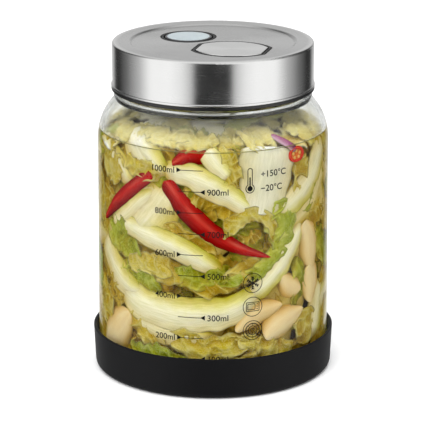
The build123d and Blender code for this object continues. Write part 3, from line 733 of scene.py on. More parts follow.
@dataclass(frozen=True)
class Vegetable:
    """Pickled plant flesh.

    The eye sees its colour run from firm stem to thin leaf, with veins along it and pale
    creases. Each point of a piece carries how leafy it is, how much of a crease runs through
    it and how much it covers what lies behind; the crease mark is a painted highlight on fold
    ridges and margins and a painted shine on plump pieces. Above the brine a painted pale haze,
    for the light that misted glass scatters, lies over it. Deeper in the brine it darkens, partly
    as the brine's tint and partly as painted shade.
    """

    name: str
    shades: tuple[tuple[float, str], ...]
    vein: str
    # crease is the colour of pale creases; on fold ridges and margins it is a painted highlight,
    # and on plump pieces a painted shine.
    crease: str = "#F0ECC4"
    vein_mm: float = 1.1
    width_mm: float = 26.0
    along_cm: float = 1.1
    cloud_mm: float = 6.25
    net_mm: float = 2.381
    roughness: float = 0.42
    glow: float = 0.25
    glow_mm: tuple[float, float, float] = (4.0, 3.5, 1.5)
    blotch: float = 0.35
    vein_mix: float = 0.3
    relief_mm: float = 0.2
    gloss: float = 0.06
    crinkle: float = 0.0
    dry_share: float = 0.1
    # haze and haze_colour: a painted pale veil above the brine, for the light that misted glass
    # scatters.
    haze: float = 0.4
    haze_colour: str = "#E6DEB4"
    # deep: what the brine leaves of white by depth, partly its tint and partly painted shade among
    # the pieces.
    deep: tuple[tuple[float, str], ...] = (
        (0.05, "#FFFFFF"), (0.28, "#E7D18B"), (0.55, "#BFA24B"), (0.9, "#906F27"),
    )

    def build(self) -> bpy.types.Material:
        """Makes the material: the flesh, then the painted haze over it, then what the brine
        leaves, which is partly painted shade.

        Pattern coordinates run along the piece (first, in cm) and across it (second, 0 to 1).

        Returns:
            The material.
        """
        material, node, shader = new_material(self.name)
        here = place(node)
        flesh, veins, cloud = self.flesh(node, here)
        height = node("SeparateXYZ", {"Vector": here}).outputs["Z"]
        # Painted haze: above the brine the flesh is mixed towards a pale veil, for light scattered
        # by the mist.
        rise = {"From Min": BRINE_Z - 1, "From Max": BRINE_Z + 4, "To Max": self.haze}
        dry = node("MapRange", {"Value": height, **rise})
        hazy = {0: dry, 6: flesh, 7: linear(self.haze_colour)}
        hazed = node("Mix", hazy, data_type="RGBA").outputs[2]
        # The depth behind the glass darkens the colour: partly the brine's tint, partly painted
        # shade.
        left = {0: 1.0, 6: hazed, 7: self.through_brine(node, height)}
        seen = node("Mix", left, data_type="RGBA", blend_type="MULTIPLY").outputs[2]
        rough = node("Math", {0: veins, 1: cloud}, operation="ADD")
        relief = {"Strength": 0.4, "Distance": self.relief_mm * MM}
        feed(shader, {
            "Base Color": seen,
            "Alpha": node("Attribute", attribute_name="cover").outputs["Fac"],
            "Normal": node("Bump", {"Height": rough, **relief}),
            "Roughness": self.roughness,
            "Subsurface Weight": self.glow,
            "Subsurface Radius": tuple(depth * MM for depth in self.glow_mm),
            "Subsurface Scale": 0.6,
            "Specular IOR Level": self.gloss,
        })
        return material

    def flesh(self, node: Adder, here: bpy.types.Node) -> tuple[bpy.types.NodeSocket, ...]:
        """Colours the flesh: a shade by how leafy it is, times its veins, with pale creases, which
        on ridges, margins and plump pieces are a painted highlight.

        Args:
            node: adds a node to the material.
            here: the place on the piece.

        Returns:
            The flesh's colour, and the noises of its veins and of its clouds.
        """
        clouds = {"Scale": 1 / self.cloud_mm, "Detail": 4.0, "Roughness": 0.6}
        cloud = node("TexNoise", {"Vector": here, **clouds}).outputs[0]
        stretch = (self.along_cm, self.width_mm / self.vein_mm, 1.0)
        veins_at = node("Mapping", {"Vector": node("UVMap", uv_map="UVMap"), "Scale": stretch})
        fine = {"Scale": 1.0, "Detail": 3.0, "Distortion": 0.4}
        veins = node("TexNoise", {"Vector": veins_at, **fine}).outputs[0]
        blotch = {0: cloud, 1: self.blotch, 2: -self.blotch / 2}
        shift = node("Math", blotch, operation="MULTIPLY_ADD")
        leafy = node("Attribute", attribute_name="leafy").outputs["Fac"]
        toward = node("Math", {0: leafy, 1: shift}, operation="ADD")
        base = node("ValToRGB", {"Fac": toward}, [(at, linear(hue)) for at, hue in self.shades])
        dark = node("ValToRGB", {"Fac": veins}, ((0.36, linear(self.vein)), (0.6, 1.0)))
        times = {"data_type": "RGBA", "blend_type": "MULTIPLY"}
        veined = node("Mix", {0: self.vein_mix, 6: base, 7: dark}, **times).outputs[2]
        mesh = {"Scale": 1 / self.net_mm, "Detail": 2.5, "Distortion": 1.2}
        net = node("TexNoise", {"Vector": here, **mesh})
        threads = node("ValToRGB", {"Fac": net}, ((0.43, 0.0), (0.5, self.crinkle), (0.57, 0.0)))
        # The crease mark is a painted highlight on fold ridges and margins, and a painted shine
        # along plump pieces.
        crease = node("Attribute", attribute_name="crease").outputs["Fac"]
        pale = node("Math", {0: crease, 1: threads}, operation="MAXIMUM")
        creased = {0: pale, 6: veined, 7: linear(self.crease)}
        return node("Mix", creased, data_type="RGBA").outputs[2], veins, cloud

    def through_brine(self, node: Adder, height: bpy.types.NodeSocket) -> bpy.types.Node:
        """Tells what the brine leaves of a colour behind it: amber at 3 mm, olive brown at 9. The
        darkening is partly the brine's tint and partly painted shade deep among the pieces.

        The depth is the wall's radius less the point's. On the shoulder the wall's radius
        falls with the square of the height over its foot, close to its arc. Above the brine
        the share of the depth goes over to one that hardly tints.

        Args:
            node: adds a node to the material.
            height: the point's height in millimetres.

        Returns:
            A node with the colour that is left of white.
        """
        over = node("Math", {0: height, 1: SHOULDER_Z}, operation="SUBTRACT")
        above = node("Math", {0: over, 1: 0.0}, operation="MAXIMUM")
        square = node("Math", {0: above, 1: above}, operation="MULTIPLY")
        curve = {0: square, 1: -0.5 / SHOULDER_ARC, 2: FOOD_R}
        wall = node("Math", curve, operation="MULTIPLY_ADD")
        depth = node("Math", {0: wall, 1: axis_distance(node)}, operation="SUBTRACT")
        rise = {"From Min": BRINE_Z - 1, "From Max": BRINE_Z + 3, "To Min": 1.0, "To Max": 0.0}
        wet = node("MapRange", {"Value": height, **rise})
        more = node("Math", {0: depth, 1: 0.1, 2: -self.dry_share}, operation="MULTIPLY_ADD")
        share = node("Math", {0: more, 1: wet, 2: self.dry_share}, operation="MULTIPLY_ADD")
        return node("ValToRGB", {"Fac": share}, [(at, linear(hue)) for at, hue in self.deep])


# Sub-assemblies


@dataclass
class Boot:
    """The soft black boot, whose node keeps its shape."""

    # Moulded silicone rubber: matt, deep black, with a faint bloom of dust that softens it.
    rubber: Moulded = Moulded(
        "silicone_rubber_moulded_black", "#0B0B0D", 0.6, 0.5, 0.02, cloud=0.08, ior=1.22, bloom=0.07
    )

    def dress(self) -> None:
        """Gives the boot its rubber."""
        dress_node("base_sleeve", self.rubber.build())


@dataclass
class GlassJar:
    """The jar, one thick walled solid of glass with a screw thread on its neck."""

    foot_z: float = 2.5
    low_r: float = 57.7
    high_r: float = 57.2
    wall: float = 2.4
    heel_r: float = 8.0
    floor: float = 6.5
    inner_heel_r: float = 6.0
    punt_r: float = 44.0
    punt_depth: float = 1.5
    punt_run: float = 3.0
    shoulder_r: float = 27.0
    bead_low_r: float = 48.6
    bead_low_z: float = 137.76
    bead_r: float = 49.0
    bead_rise: float = 1.7
    bead_top_r: float = 47.8
    bead_top_z: float = 140.96
    neck_r: float = 45.0
    root_r: float = 0.8
    root_z: float = 1.6
    neck_wall: float = 3.2
    mouth_z: float = 158.0
    lip_r: float = 0.9
    thread_z: float = 147.5
    thread_rise: float = 4.0
    thread_r: float = 1.15
    thread_half: float = 0.85
    thread_fade: float = 0.35
    steps: int = 288

    @property
    def heel_z(self) -> float:
        """Height where the outer heel ends and the straight wall begins."""
        return self.foot_z + self.heel_r

    def outer_r(self, z: np.ndarray) -> np.ndarray:
        """Radius of the outside of the straight wall at a height, which narrows evenly."""
        share = (z - self.heel_z) / (SHOULDER_Z - self.heel_z)
        return self.low_r - (self.low_r - self.high_r) * share

    def outer(self) -> list[Pair]:
        """Draws the outer wall from the foot's centre up to the outside of the mouth.

        Returns:
            Radius and height of each point.
        """
        punt_z, punt_end = self.foot_z + self.punt_depth, self.punt_r + self.punt_run
        punt_middle = (self.punt_r + self.punt_run / 2, self.foot_z + self.punt_depth / 2)
        punt = [(self.punt_r, punt_z), punt_middle, (punt_end, self.foot_z)]
        bead_middle = (self.bead_r, self.bead_low_z + self.bead_rise)
        bead_top = (self.bead_top_r, self.bead_top_z)
        bead = [(self.bead_low_r, self.bead_low_z), bead_middle, bead_top]
        (r, z), (lip, top_z) = (self.neck_r, self.bead_top_z), (self.lip_r, self.mouth_z)
        neck_foot = [(r + self.root_r, z + 0.5), (r, z + self.root_z)]
        end = math.degrees(math.asin((self.bead_low_z - SHOULDER_Z) / self.shoulder_r))
        line = [(0.0, punt_z), (self.punt_r, punt_z)]
        line += smooth_line(punt, 6).tolist()[1:]
        line += arc((self.low_r - self.heel_r, self.heel_z), self.heel_r, -90, 0, 14)
        line += straight((self.low_r, self.heel_z), (self.high_r, SHOULDER_Z), 30)[1:-1]
        line += arc((self.high_r - self.shoulder_r, SHOULDER_Z), self.shoulder_r, 0, end, 32)
        line += smooth_line(bead, 12).tolist()[1:]
        line += smooth_line([bead_top, *neck_foot], 8).tolist()[1:]
        line += straight((r, z + self.root_z + 0.3), (r, top_z - lip - 0.3), 40)
        return line + arc((r - lip, top_z - lip), lip, 0, 90, 6)

    def inner(self) -> list[Pair]:
        """Draws the inner wall from the inside of the mouth down to the floor's centre.

        Returns:
            Radius and height of each point.
        """
        centre_r, arc_r = self.high_r - self.shoulder_r, self.shoulder_r - self.wall
        mouth_r, low_r = self.neck_r - self.neck_wall, self.low_r - self.wall
        floor_z = self.foot_z + self.floor
        start = math.degrees(math.acos((mouth_r - centre_r) / arc_r))
        throat_z = SHOULDER_Z + arc_r * math.sin(math.radians(start)) + 1.6
        wall_top = (self.high_r - self.wall, SHOULDER_Z)
        wall_foot = (low_r, floor_z + self.inner_heel_r)
        heel = (low_r - self.inner_heel_r, floor_z + self.inner_heel_r)
        line = arc((mouth_r + self.lip_r, self.mouth_z - self.lip_r), self.lip_r, 90, 180, 6)
        line += straight((mouth_r, self.mouth_z - 1.6), (mouth_r, throat_z), 10)
        line += arc((centre_r, SHOULDER_Z), arc_r, start - 3, 0, 28)
        line += straight(wall_top, wall_foot, 30)[1:-1]
        return line + arc(heel, self.inner_heel_r, 0, -90, 12) + [(0.0, floor_z)]

    def threaded(self, grid: np.ndarray) -> np.ndarray:
        """Raises one turn of thread on the neck.

        The thread adds to the radius, at each angle, a smooth hump centred on a height that
        rises evenly with the angle, and fades at both ends of its turn.

        Args:
            grid: points of the jar, profile point first and step second.

        Returns:
            The points with the thread.
        """
        turn = circle(self.steps)[None, :]
        radius, height = np.hypot(grid[..., 0], grid[..., 1]), grid[..., 2]
        on_neck = (np.abs(radius - self.neck_r) < 0.01) & (height > self.bead_top_z + 1.5)
        middle = self.thread_z + self.thread_rise * turn / math.tau
        fade = np.clip(np.minimum(turn, math.tau - turn) / self.thread_fade, 0, 1)
        hump = self.thread_r * np.exp(-(((height - middle) / self.thread_half) ** 2)) * fade
        factor = np.where(on_neck, (radius + hump) / np.maximum(radius, 1e-6), 1.0)
        return np.concatenate([grid[..., :2] * factor[..., None], grid[..., 2:]], -1)

    def build(self) -> bpy.types.Object:
        """Turns the profile, raises the thread and gives the inner wall its two own finishes.

        The inner wall's faces are those within a radius that follows the wall and the
        shoulder's arc, a little outside the glass's inner face, and above the floor.

        Returns:
            The jar.
        """
        grid = self.threaded(turned(self.outer() + self.inner(), self.steps))
        piece = surface("jar_glass", grid, round_second=True, crease=60)
        keep(piece, "jar", ClearBody().build(), ("glass_jar",))
        piece.data.materials.append(WettedGlass().build())
        piece.data.materials.append(MistedGlass().build())
        spots = np.zeros(len(piece.data.polygons) * 3)
        piece.data.polygons.foreach_get("center", spots)
        x, y, z = spots.reshape(-1, 3).T / MM
        arc_r = self.shoulder_r - self.wall
        narrowed = fall_back(arc_r, np.clip(z - SHOULDER_Z, 0, arc_r))
        within = np.hypot(x, y) < self.low_r - self.wall + 1.1 - narrowed
        inside = within & (z > self.foot_z + self.floor - 0.1)
        wet = inside & (z < BRINE_Z)
        misted = inside & (z >= BRINE_Z) & (z < self.bead_top_z)
        numbers = (wet + 2 * misted).astype(np.int32)
        piece.data.polygons.foreach_set("material_index", numbers)
        return piece


class Side(Enum):
    """A side of a line or of a word, and which way it lies along the arc length."""

    LEFT = -1
    RIGHT = 1


@dataclass
class PrintedScale:
    """Ceramic ink on the front of the glass: a volume scale, two temperatures, three signs.

    A place on the drawing is its arc length from the front and its height. A column of the
    scale is where its words start or end, where its pointers' tips stand, and both ends of
    its lines.
    """

    glass: GlassJar
    gap: float = 0.05
    left: tuple[float, float, float, float] = (-18.6, -15.3, -15.6, -4.8)
    right: tuple[float, float, float, float] = (-2.9, -6.3, -17.2, -6.0)
    text_height: float = 3.05
    type_over_capital: float = 1.37
    type_weight: float = 0.012
    type_spacing: float = 1.02
    line_width: float = 0.36
    zero_z: float = 9.7
    step_z: float = 10.5
    pointer_length: float = 2.4
    pointer_half: float = 1.25
    bulb: Pair = (18.0, 105.3)
    bulb_r: float = 2.1
    tube_half: float = 1.1
    tube_low: float = 2.3
    tube_top_z: float = 114.2
    degrees_x: float = 23.4
    degrees_z: Pair = (112.0, 104.9)
    degrees_height: float = 3.2
    sign_x: float = 19.6
    sign_z: tuple[float, float, float] = (58.0, 46.0, 34.0)
    sign_r: float = 4.85
    # Fired ceramic ink: flat and black, with hardly any gloss, against the bright glass.
    ink: Moulded = Moulded(
        "ceramic_ink_fired_black", "#101010", 0.6, 0.3, 0.005, cloud=0.1, ior=1.2
    )
    parts: list[bpy.types.Object] = field(default_factory=list)

    def wrap(self, across: np.ndarray, z: np.ndarray) -> np.ndarray:
        """Lays flat points on the glass: arc length and height become a point of the wall.

        Args:
            across: arc length from the front.
            z: height.

        Returns:
            The points, a hair outside the glass.
        """
        radius = self.glass.outer_r(z) + self.gap
        turn = across / radius
        return stacked(radius * np.sin(turn), -radius * np.cos(turn), z)

    def draw(self, across: np.ndarray, z: np.ndarray, **closed: bool) -> None:
        """Adds a patch of ink from a flat grid of points."""
        self.parts.append(surface("ink", self.wrap(across, z), **closed))

    def ribbon(
        self, points: Sequence[Pair], width: float | None = None, closed: bool = False
    ) -> None:
        """Draws a flat strip: each point spreads to both sides of the line's direction.

        Args:
            points: the line along its middle.
            width: width of the strip, or none for the usual one.
            closed: whether its end meets its start.
        """
        line = np.array(points, float)
        if closed:
            way = np.roll(line, -1, 0) - np.roll(line, 1, 0)
        else:
            way = np.gradient(line, axis=0)
        way /= np.linalg.norm(way, axis=1)[:, None]
        side = np.stack([-way[:, 1], way[:, 0]], -1) * (width or self.line_width) / 2
        grid = np.stack([line + side, line, line - side], 1)
        self.draw(grid[..., 0], grid[..., 1], round_first=closed)

    def stroke(self, start: Pair, end: Pair, width: float | None = None) -> None:
        """A straight strip, cut finely enough to follow the glass."""
        self.ribbon(np.linspace(start, end, 8), width)

    def ring(self, centre: Pair, radius: float, width: float | None = None) -> None:
        """Draws a thin circle: the centre plus the radius times (cos, sin).

        Args:
            centre: its centre.
            radius: its radius.
            width: width of its line, or none for the usual one.
        """
        turn = circle(48)
        points = stacked(centre[0] + radius * np.cos(turn), centre[1] + radius * np.sin(turn))
        self.ribbon(points, width, closed=True)

    def disc(self, centre: Pair, radius: float) -> None:
        """Draws a filled circle, as rings that shrink to its centre.

        Args:
            centre: its centre.
            radius: its radius.
        """
        turn, reach = circle(24), radius * np.array([1.0, 0.5, 0.0])[:, None]
        x, z = centre[0] + reach * np.cos(turn), centre[1] + reach * np.sin(turn)
        self.draw(x, z, round_second=True)

    def pointer(self, tip: Pair, side: Side) -> None:
        """Draws a filled triangle.

        Args:
            tip: the corner that touches its line.
            side: the side that the triangle lies on.
        """
        base, half = tip[0] + side.value * self.pointer_length, self.pointer_half
        height = np.array([[tip[1], tip[1]], [tip[1] - half, tip[1] + half]])
        self.draw(np.array([[tip[0], tip[0]], [base, base]]), height)

    def text(
        self, words: str, across: float, middle_z: float, align: Side, size: float | None = None
    ) -> None:
        """Draws letters from the built in typeface and lays them on the glass.

        Args:
            words: what they say.
            across: where they start or end.
            middle_z: height of their middle.
            align: the side of them that stands at that place.
            size: height of a capital, or none for the usual one.
        """
        height = size or self.text_height
        curve = bpy.data.curves.new("words", "FONT")
        curve.body = words
        curve.size = height * self.type_over_capital
        curve.offset = self.type_weight * curve.size
        curve.align_x = align.name
        curve.space_character = self.type_spacing
        holder = bpy.data.objects.new("words", curve)
        bpy.context.scene.collection.objects.link(holder)
        bpy.context.view_layer.update()
        shown = holder.evaluated_get(bpy.context.evaluated_depsgraph_get())
        mesh = bpy.data.meshes.new_from_object(shown)
        bpy.data.objects.remove(holder)
        flat = np.zeros(len(mesh.vertices) * 3)
        mesh.vertices.foreach_get("co", flat)
        x, y, _ = flat.reshape(-1, 3).T
        placed = self.wrap(across + x, middle_z - height / 2 + y) * MM
        mesh.vertices.foreach_set("co", placed.astype(np.float32).ravel())
        mesh.materials.clear()
        mesh.name = "ink"
        self.parts.append(finished(mesh))

    def scale(self) -> None:
        """Marks 100 ml apart: even hundreds on the left column, odd hundreds on the right."""
        for count in range(1, 11):
            side = Side.RIGHT if count % 2 else Side.LEFT
            words_x, tip_x, start, end = self.right if side is Side.RIGHT else self.left
            z = self.zero_z + self.step_z * count
            self.text(f"{100 * count}ml", words_x, z, Side(-side.value))
            self.pointer((tip_x, z), side)
            self.stroke((start, z), (end, z))

    def temperatures(self) -> None:
        """Draws a thermometer and the range of temperature that the glass bears."""
        (x, z), half, top_z = self.bulb, self.tube_half, self.tube_top_z
        low_z = z + self.tube_low
        outline = arc(self.bulb, self.bulb_r, 118, 422, 30)
        outline += straight((x + half, low_z), (x + half, top_z), 5)
        outline += arc((x, top_z), half, 0, 180, 12)[1:]
        outline += straight((x - half, top_z), (x - half, low_z), 5)[1:]
        self.ribbon(outline, 0.44, closed=True)
        self.disc(self.bulb, 1.35)
        self.stroke(self.bulb, (x, z + 5.6), 0.7)
        for words, words_z in zip(("+150°C", "−20°C"), self.degrees_z):
            self.text(words, self.degrees_x, words_z, Side.LEFT, self.degrees_height)

    def frost(self, middle: np.ndarray) -> None:
        """Draws six arms with two pairs of barbs each.

        Args:
            middle: the middle of the sign.
        """
        for turn in np.radians(np.arange(0, 360, 60) + 30):
            way, side = heading(turn)
            self.stroke(middle, middle + 3.3 * way, 0.5)
            for reach in (1.5, 2.4):
                for barb in (side, -side):
                    tip = middle + (reach + 0.8) * way + 0.8 * barb
                    self.stroke(middle + reach * way, tip, 0.38)

    def oven(self, middle: np.ndarray) -> None:
        """Draws a box with a window in it and three knobs beside the window.

        Args:
            middle: the middle of the sign.
        """
        for left, top, right, low in ((-3.2, 2.2, 3.3, -2.2), (-2.5, 1.4, 1.2, -1.4)):
            box = middle + np.array([(left, top), (right, top), (right, low), (left, low)])
            for start, end in zip(box, np.roll(box, -1, 0)):
                self.stroke(start, end, 0.36)
        for rise in (1.2, 0.0, -1.2):
            self.disc(middle + (2.3, rise), 0.3)

    def basket(self, middle: np.ndarray) -> None:
        """Draws two rings with short spokes between them, and drops in the inner one.

        Args:
            middle: the middle of the sign.
        """
        self.ring(middle, 3.5, 0.42)
        self.ring(middle, 2.2, 0.32)
        for turn in np.radians(np.arange(0, 360, 45)):
            way, _ = heading(turn)
            self.disc(middle + 1.1 * way, 0.24)
            self.stroke(middle + 2.4 * way, middle + 3.3 * way, 0.2)

    def build(self) -> bpy.types.Object:
        """Draws the whole print as one piece.

        Returns:
            The print.
        """
        self.scale()
        self.temperatures()
        for z, sign in zip(self.sign_z, (self.frost, self.oven, self.basket)):
            self.ring((self.sign_x, z), self.sign_r, 0.34)
            sign(np.array([self.sign_x, z]))
        return keep(joined("scale_print", self.parts), "jar", self.ink.build())


@dataclass
class Spring:
    """A round wire wound upward under a button, which closes up as the button is pressed."""

    node: str
    joint: str
    centre: Pair
    mean_r: float
    wire_r: float
    low_z: float
    high_z: float
    stroke: float
    turns: int = 4
    turn_steps: int = 72
    section_steps: int = 16

    def build(self, wire: bpy.types.Material) -> bpy.types.Object:
        """Makes the coil in the node's place.

        A circle is carried along the helix. Its points are set off from the wire's line in
        two directions, away from the axis and square to the wire, and it shrinks to a point
        at both ends of the wire.

        Args:
            wire: the wire's material.

        Returns:
            The coil.
        """
        climb, steps = math.tau * self.turns, self.turn_steps * self.turns
        turn = np.pad(np.linspace(0, climb, steps + 1), 1, mode="edge")[:, None]
        reach = self.wire_r * np.pad(np.ones(len(turn) - 2), 1)[:, None]
        section = circle(self.section_steps)[None, :]
        rise = (self.high_z - self.low_z - 2 * self.wire_r) / climb
        slope = math.atan2(rise, self.mean_r)
        out, up = self.mean_r + reach * np.cos(section), reach * np.sin(section)
        x = self.centre[0] + out * np.cos(turn) + up * math.sin(slope) * np.sin(turn)
        y = self.centre[1] + out * np.sin(turn) - up * math.sin(slope) * np.cos(turn)
        z = self.low_z + self.wire_r + rise * turn + up * math.cos(slope)
        piece = surface(f"{self.node}_coil", stacked(x, y, z), round_second=True)
        keep(piece, "lid", wire, (self.node,))
        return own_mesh(piece)


@dataclass
class Lid:
    """Steel cover, black threaded cap, trim rings, pump and vent."""

    pump: Pair = (9.1, -16.0)
    vent: Pair = (-12.2, 12.8)
    vent_rim_r: float = 10.5

    def finishes(self) -> Iterator[tuple[BrushedSteel | Moulded | TurnedMetal, tuple[str, ...]]]:
        """Pairs each finish with the nodes of the lid that keep their shape and wear it.

        Yields:
            A finish and the names of its nodes.
        """
        # Drawn steel: a broad soft fan of light on the dish, with painted shade that darkens the
        # flat top against the rolled edge.
        yield BrushedSteel("stainless_steel_brushed_cover", top=0.68), ("steel_cover",)
        # Spun steel: the same fan, but round the plate's own middle, so it stands out.
        plate = BrushedSteel("stainless_steel_spun_plate", self.pump, roughness=0.24)
        yield plate, ("pump_plate",)
        # Moulded polypropylene: black with a dull waxy gloss.
        yield Moulded("polypropylene_moulded_black", "#0D0D0E", 0.42, 0.4, 0.01), ("lid_liner",)
        # Moulded ABS: a black line with a weak gloss round the plate and the cap.
        trim = Moulded("abs_moulded_black", "#0C0C0D", 0.5, 0.5, 0.005, ior=1.3)
        yield trim, ("pump_ring", "vent_ring")
        # Moulded silicone, milky: light goes into it, so its edge and shadows stay soft.
        # Past its rim radius the button's edge is painted near black, a painted shade for the gap
        # round it.
        rim = (*self.vent, self.vent_rim_r)
        look = {"glow": 0.3, "cloud": 0.03, "rim": rim}
        milky = Moulded("silicone_moulded_milky", "#949FA3", 0.34, 0.8, 0.005, **look)
        yield milky, ("vent_button",)
        # Moulded acetal: clean white with a smooth low gloss.
        white = Moulded("acetal_moulded_white", "#E8E8E2", 0.38, 0.5, 0.01, cloud=0.04)
        yield white, ("pump_button", "vent_core", "vent_seat", "piston")
        # Moulded polycarbonate: smoky grey with a clear gloss.
        smoke = Moulded("polycarbonate_moulded_smoke", "#9DA2A4", 0.2, 1.0, 0.004, cloud=0.05)
        yield smoke, ("pump_cylinder",)
        # Moulded silicone, natural: pale and soft, with light inside its thin lips.
        look = {"glow": 0.2, "cloud": 0.05}
        seal = Moulded("silicone_moulded_natural", "#D6D8D2", 0.45, 0.4, 0.01, **look)
        rings = ("lid_gasket", "piston_seal", "cylinder_seal", "vent_seat_seal")
        yield seal, (*rings, "vent_valve", "intake_valve")
        # Turned steel: small sharp glints on the screw heads.
        screw = TurnedMetal("stainless_steel_turned", "#C4C5C6", 0.3)
        yield screw, ("piston_screw", "cylinder_screws")

    def dress(self) -> None:
        """Gives every node of the lid the finish of its real material, and makes both springs."""
        for finish, names in self.finishes():
            material = finish.build()
            for name in names:
                dress_node(name, material)
        # Drawn spring steel: a bright thin line of light along each turn.
        wire = TurnedMetal("spring_steel_drawn", "#B9BABC", 0.25).build()
        pump, vent = ("pump_spring", "pump_press"), ("vent_spring", "vent_press")
        sizes = {"mean_r": 9.19, "wire_r": 0.4, "low_z": 153.05, "high_z": 162.45}
        Spring(*pump, self.pump, **sizes, stroke=5.0).build(wire)
        sizes = {"mean_r": 8.8, "wire_r": 0.35, "low_z": 153.55, "high_z": 161.55}
        Spring(*vent, self.vent, **sizes, stroke=2.5).build(wire)


# Food and brine


class Food(Enum):
    """Kinds of food in the jar."""

    RIB = "rib"
    WHITE = "white"
    LEAF = "leaf"
    GREEN = "green"
    ONION = "onion"
    CLOVE = "clove"
    CHILLI = "chilli"


@dataclass(frozen=True)
class Habit:
    """How a kind of food grows and lies, in millimetres and in shares of its half width.

    thick and margin are its thickness in the middle and at the sides, curl turns the sides
    away from the glass, wave bends them, ragged roughens its outline and fold creases its
    face. square is the power of its section, ends the share that its ends close over, thin
    the share of its sides that lets light through, dive how far its ends go in behind their
    neighbours and pale how much its creases and painted highlights show.
    """

    thick: float
    margin: float
    curl: float = 0.05
    wave: float = 0.0
    wave_mm: float = 12.0
    ragged: float = 0.05
    fold: float = 0.0
    fold_mm: float = 5.0
    square: float = 2.4
    ends: float = 0.16
    thin: float = 0.0
    dive: float = 0.0
    pale: float = 0.0
    plump: bool = False


HABITS = {
    Food.RIB: Habit(
        3.4, 1.3, wave=0.5, wave_mm=16.0, ragged=0.06, fold=0.12, fold_mm=9.0, square=3.0,
        ends=0.12, thin=0.12, dive=3.2,
    ),
    Food.WHITE: Habit(
        3.0, 1.4, wave=0.4, wave_mm=18.0, fold=0.1, fold_mm=12.0, square=4.5, ends=0.08, thin=0.1
    ),
    Food.LEAF: Habit(
        1.0, 0.5, 0.02, wave=2.4, wave_mm=10.0, ragged=0.16, fold=1.5, fold_mm=9.0, square=2.3,
        thin=0.2, dive=1.5, pale=0.5,
    ),
    Food.GREEN: Habit(
        1.0, 0.5, 0.02, wave=2.2, wave_mm=11.0, ragged=0.16, fold=1.3, fold_mm=9.5, square=2.3,
        thin=0.2, dive=1.5, pale=0.45,
    ),
    Food.ONION: Habit(1.2, 0.8, 0.02, wave=0.4, square=2.3, thin=0.2),
    Food.CLOVE: Habit(
        9.0, 9.0, 0.08, fold=0.05, fold_mm=9.0, square=2.0, ends=0.42, plump=True, pale=0.35
    ),
    Food.CHILLI: Habit(
        5.6, 4.4, 0.02, ragged=0.03, fold=0.2, fold_mm=11.0, ends=0.07, plump=True, pale=0.4
    ),
}

FINISHES = {
    # Firm ribs of the leaf: white and faintly striped, green where they turn into leaf.
    Food.RIB: Vegetable(
        "cabbage_rib_pickled",
        (
            (0.0, "#E4E0B0"), (0.12, "#F4F3E8"), (0.55, "#F8F8F4"), (0.78, "#E8E7AC"),
            (1.0, "#C6C84C"),
        ),
        "#D2D2A6", blotch=0.3, vein_mix=0.35,
    ),
    # The thick stem: a plain pale slab, the brightest thing behind the glass.
    Food.WHITE: Vegetable(
        "cabbage_stem_white_pickled",
        ((0.0, "#E0E2D4"), (0.3, "#EEEFF0"), (0.8, "#F0F1F2"), (1.0, "#DEE0C8")),
        "#D8DAD0", blotch=0.5, vein_mix=0.35,
    ),
    # Thin leaf, turned yellow by the brine, with a net of pale creases and a painted highlight
    # on its fold ridges and margins.
    Food.LEAF: Vegetable(
        "cabbage_leaf_pickled",
        ((0.1, "#E4DA84"), (0.45, "#CFC044"), (0.75, "#BEA924"), (1.0, "#DACE6A")),
        "#A09028", vein_mm=0.7, vein_mix=0.4, blotch=0.9, crinkle=0.3,
    ),
    # Outer leaf, still green, with the same net and the same painted highlight.
    Food.GREEN: Vegetable(
        "cabbage_leaf_green_pickled",
        ((0.1, "#D6DA70"), (0.45, "#B0BE28"), (0.8, "#8CA010"), (1.0, "#AEBC30")),
        "#82921C", crease="#E6E8A0", vein_mm=0.7, vein_mix=0.4, blotch=0.9, crinkle=0.3,
    ),
    # A strip of onion: one small purple line among the pale food.
    Food.ONION: Vegetable(
        "onion_purple_pickled",
        ((0.2, "#C9A9BC"), (0.6, "#A35288"), (1.0, "#84305F")),
        "#96507E", blotch=0.6, vein_mix=0.4, haze=0.0,
    ),
    # Garlic: smooth, creamy and a little shiny, with a painted highlight streak along it so that
    # it looks round.
    Food.CLOVE: Vegetable(
        "garlic_clove_pickled",
        ((0.2, "#F6E8D0"), (0.8, "#EAD2AC")),
        "#E6D2AC", crease="#FFFAF0", vein_mm=3.0, vein_mix=0.15, roughness=0.3, blotch=0.3,
        gloss=0.3,
    ),
    # Chilli skin: deep red and tight, darkest along one side and brightest past the middle as
    # painted shade across its round body, with a painted highlight, a broken line of shine, along
    # it.
    Food.CHILLI: Vegetable(
        "chilli_skin_pickled",
        ((0.0, "#6E0306"), (0.3, "#A00608"), (0.6, "#C4100E"), (0.95, "#940608")),
        "#8A0406", crease="#EE7A70", vein_mm=2.0, vein_mix=0.2, roughness=0.2, glow=0.0,
        blotch=0.25, gloss=0.1,
    ),
}


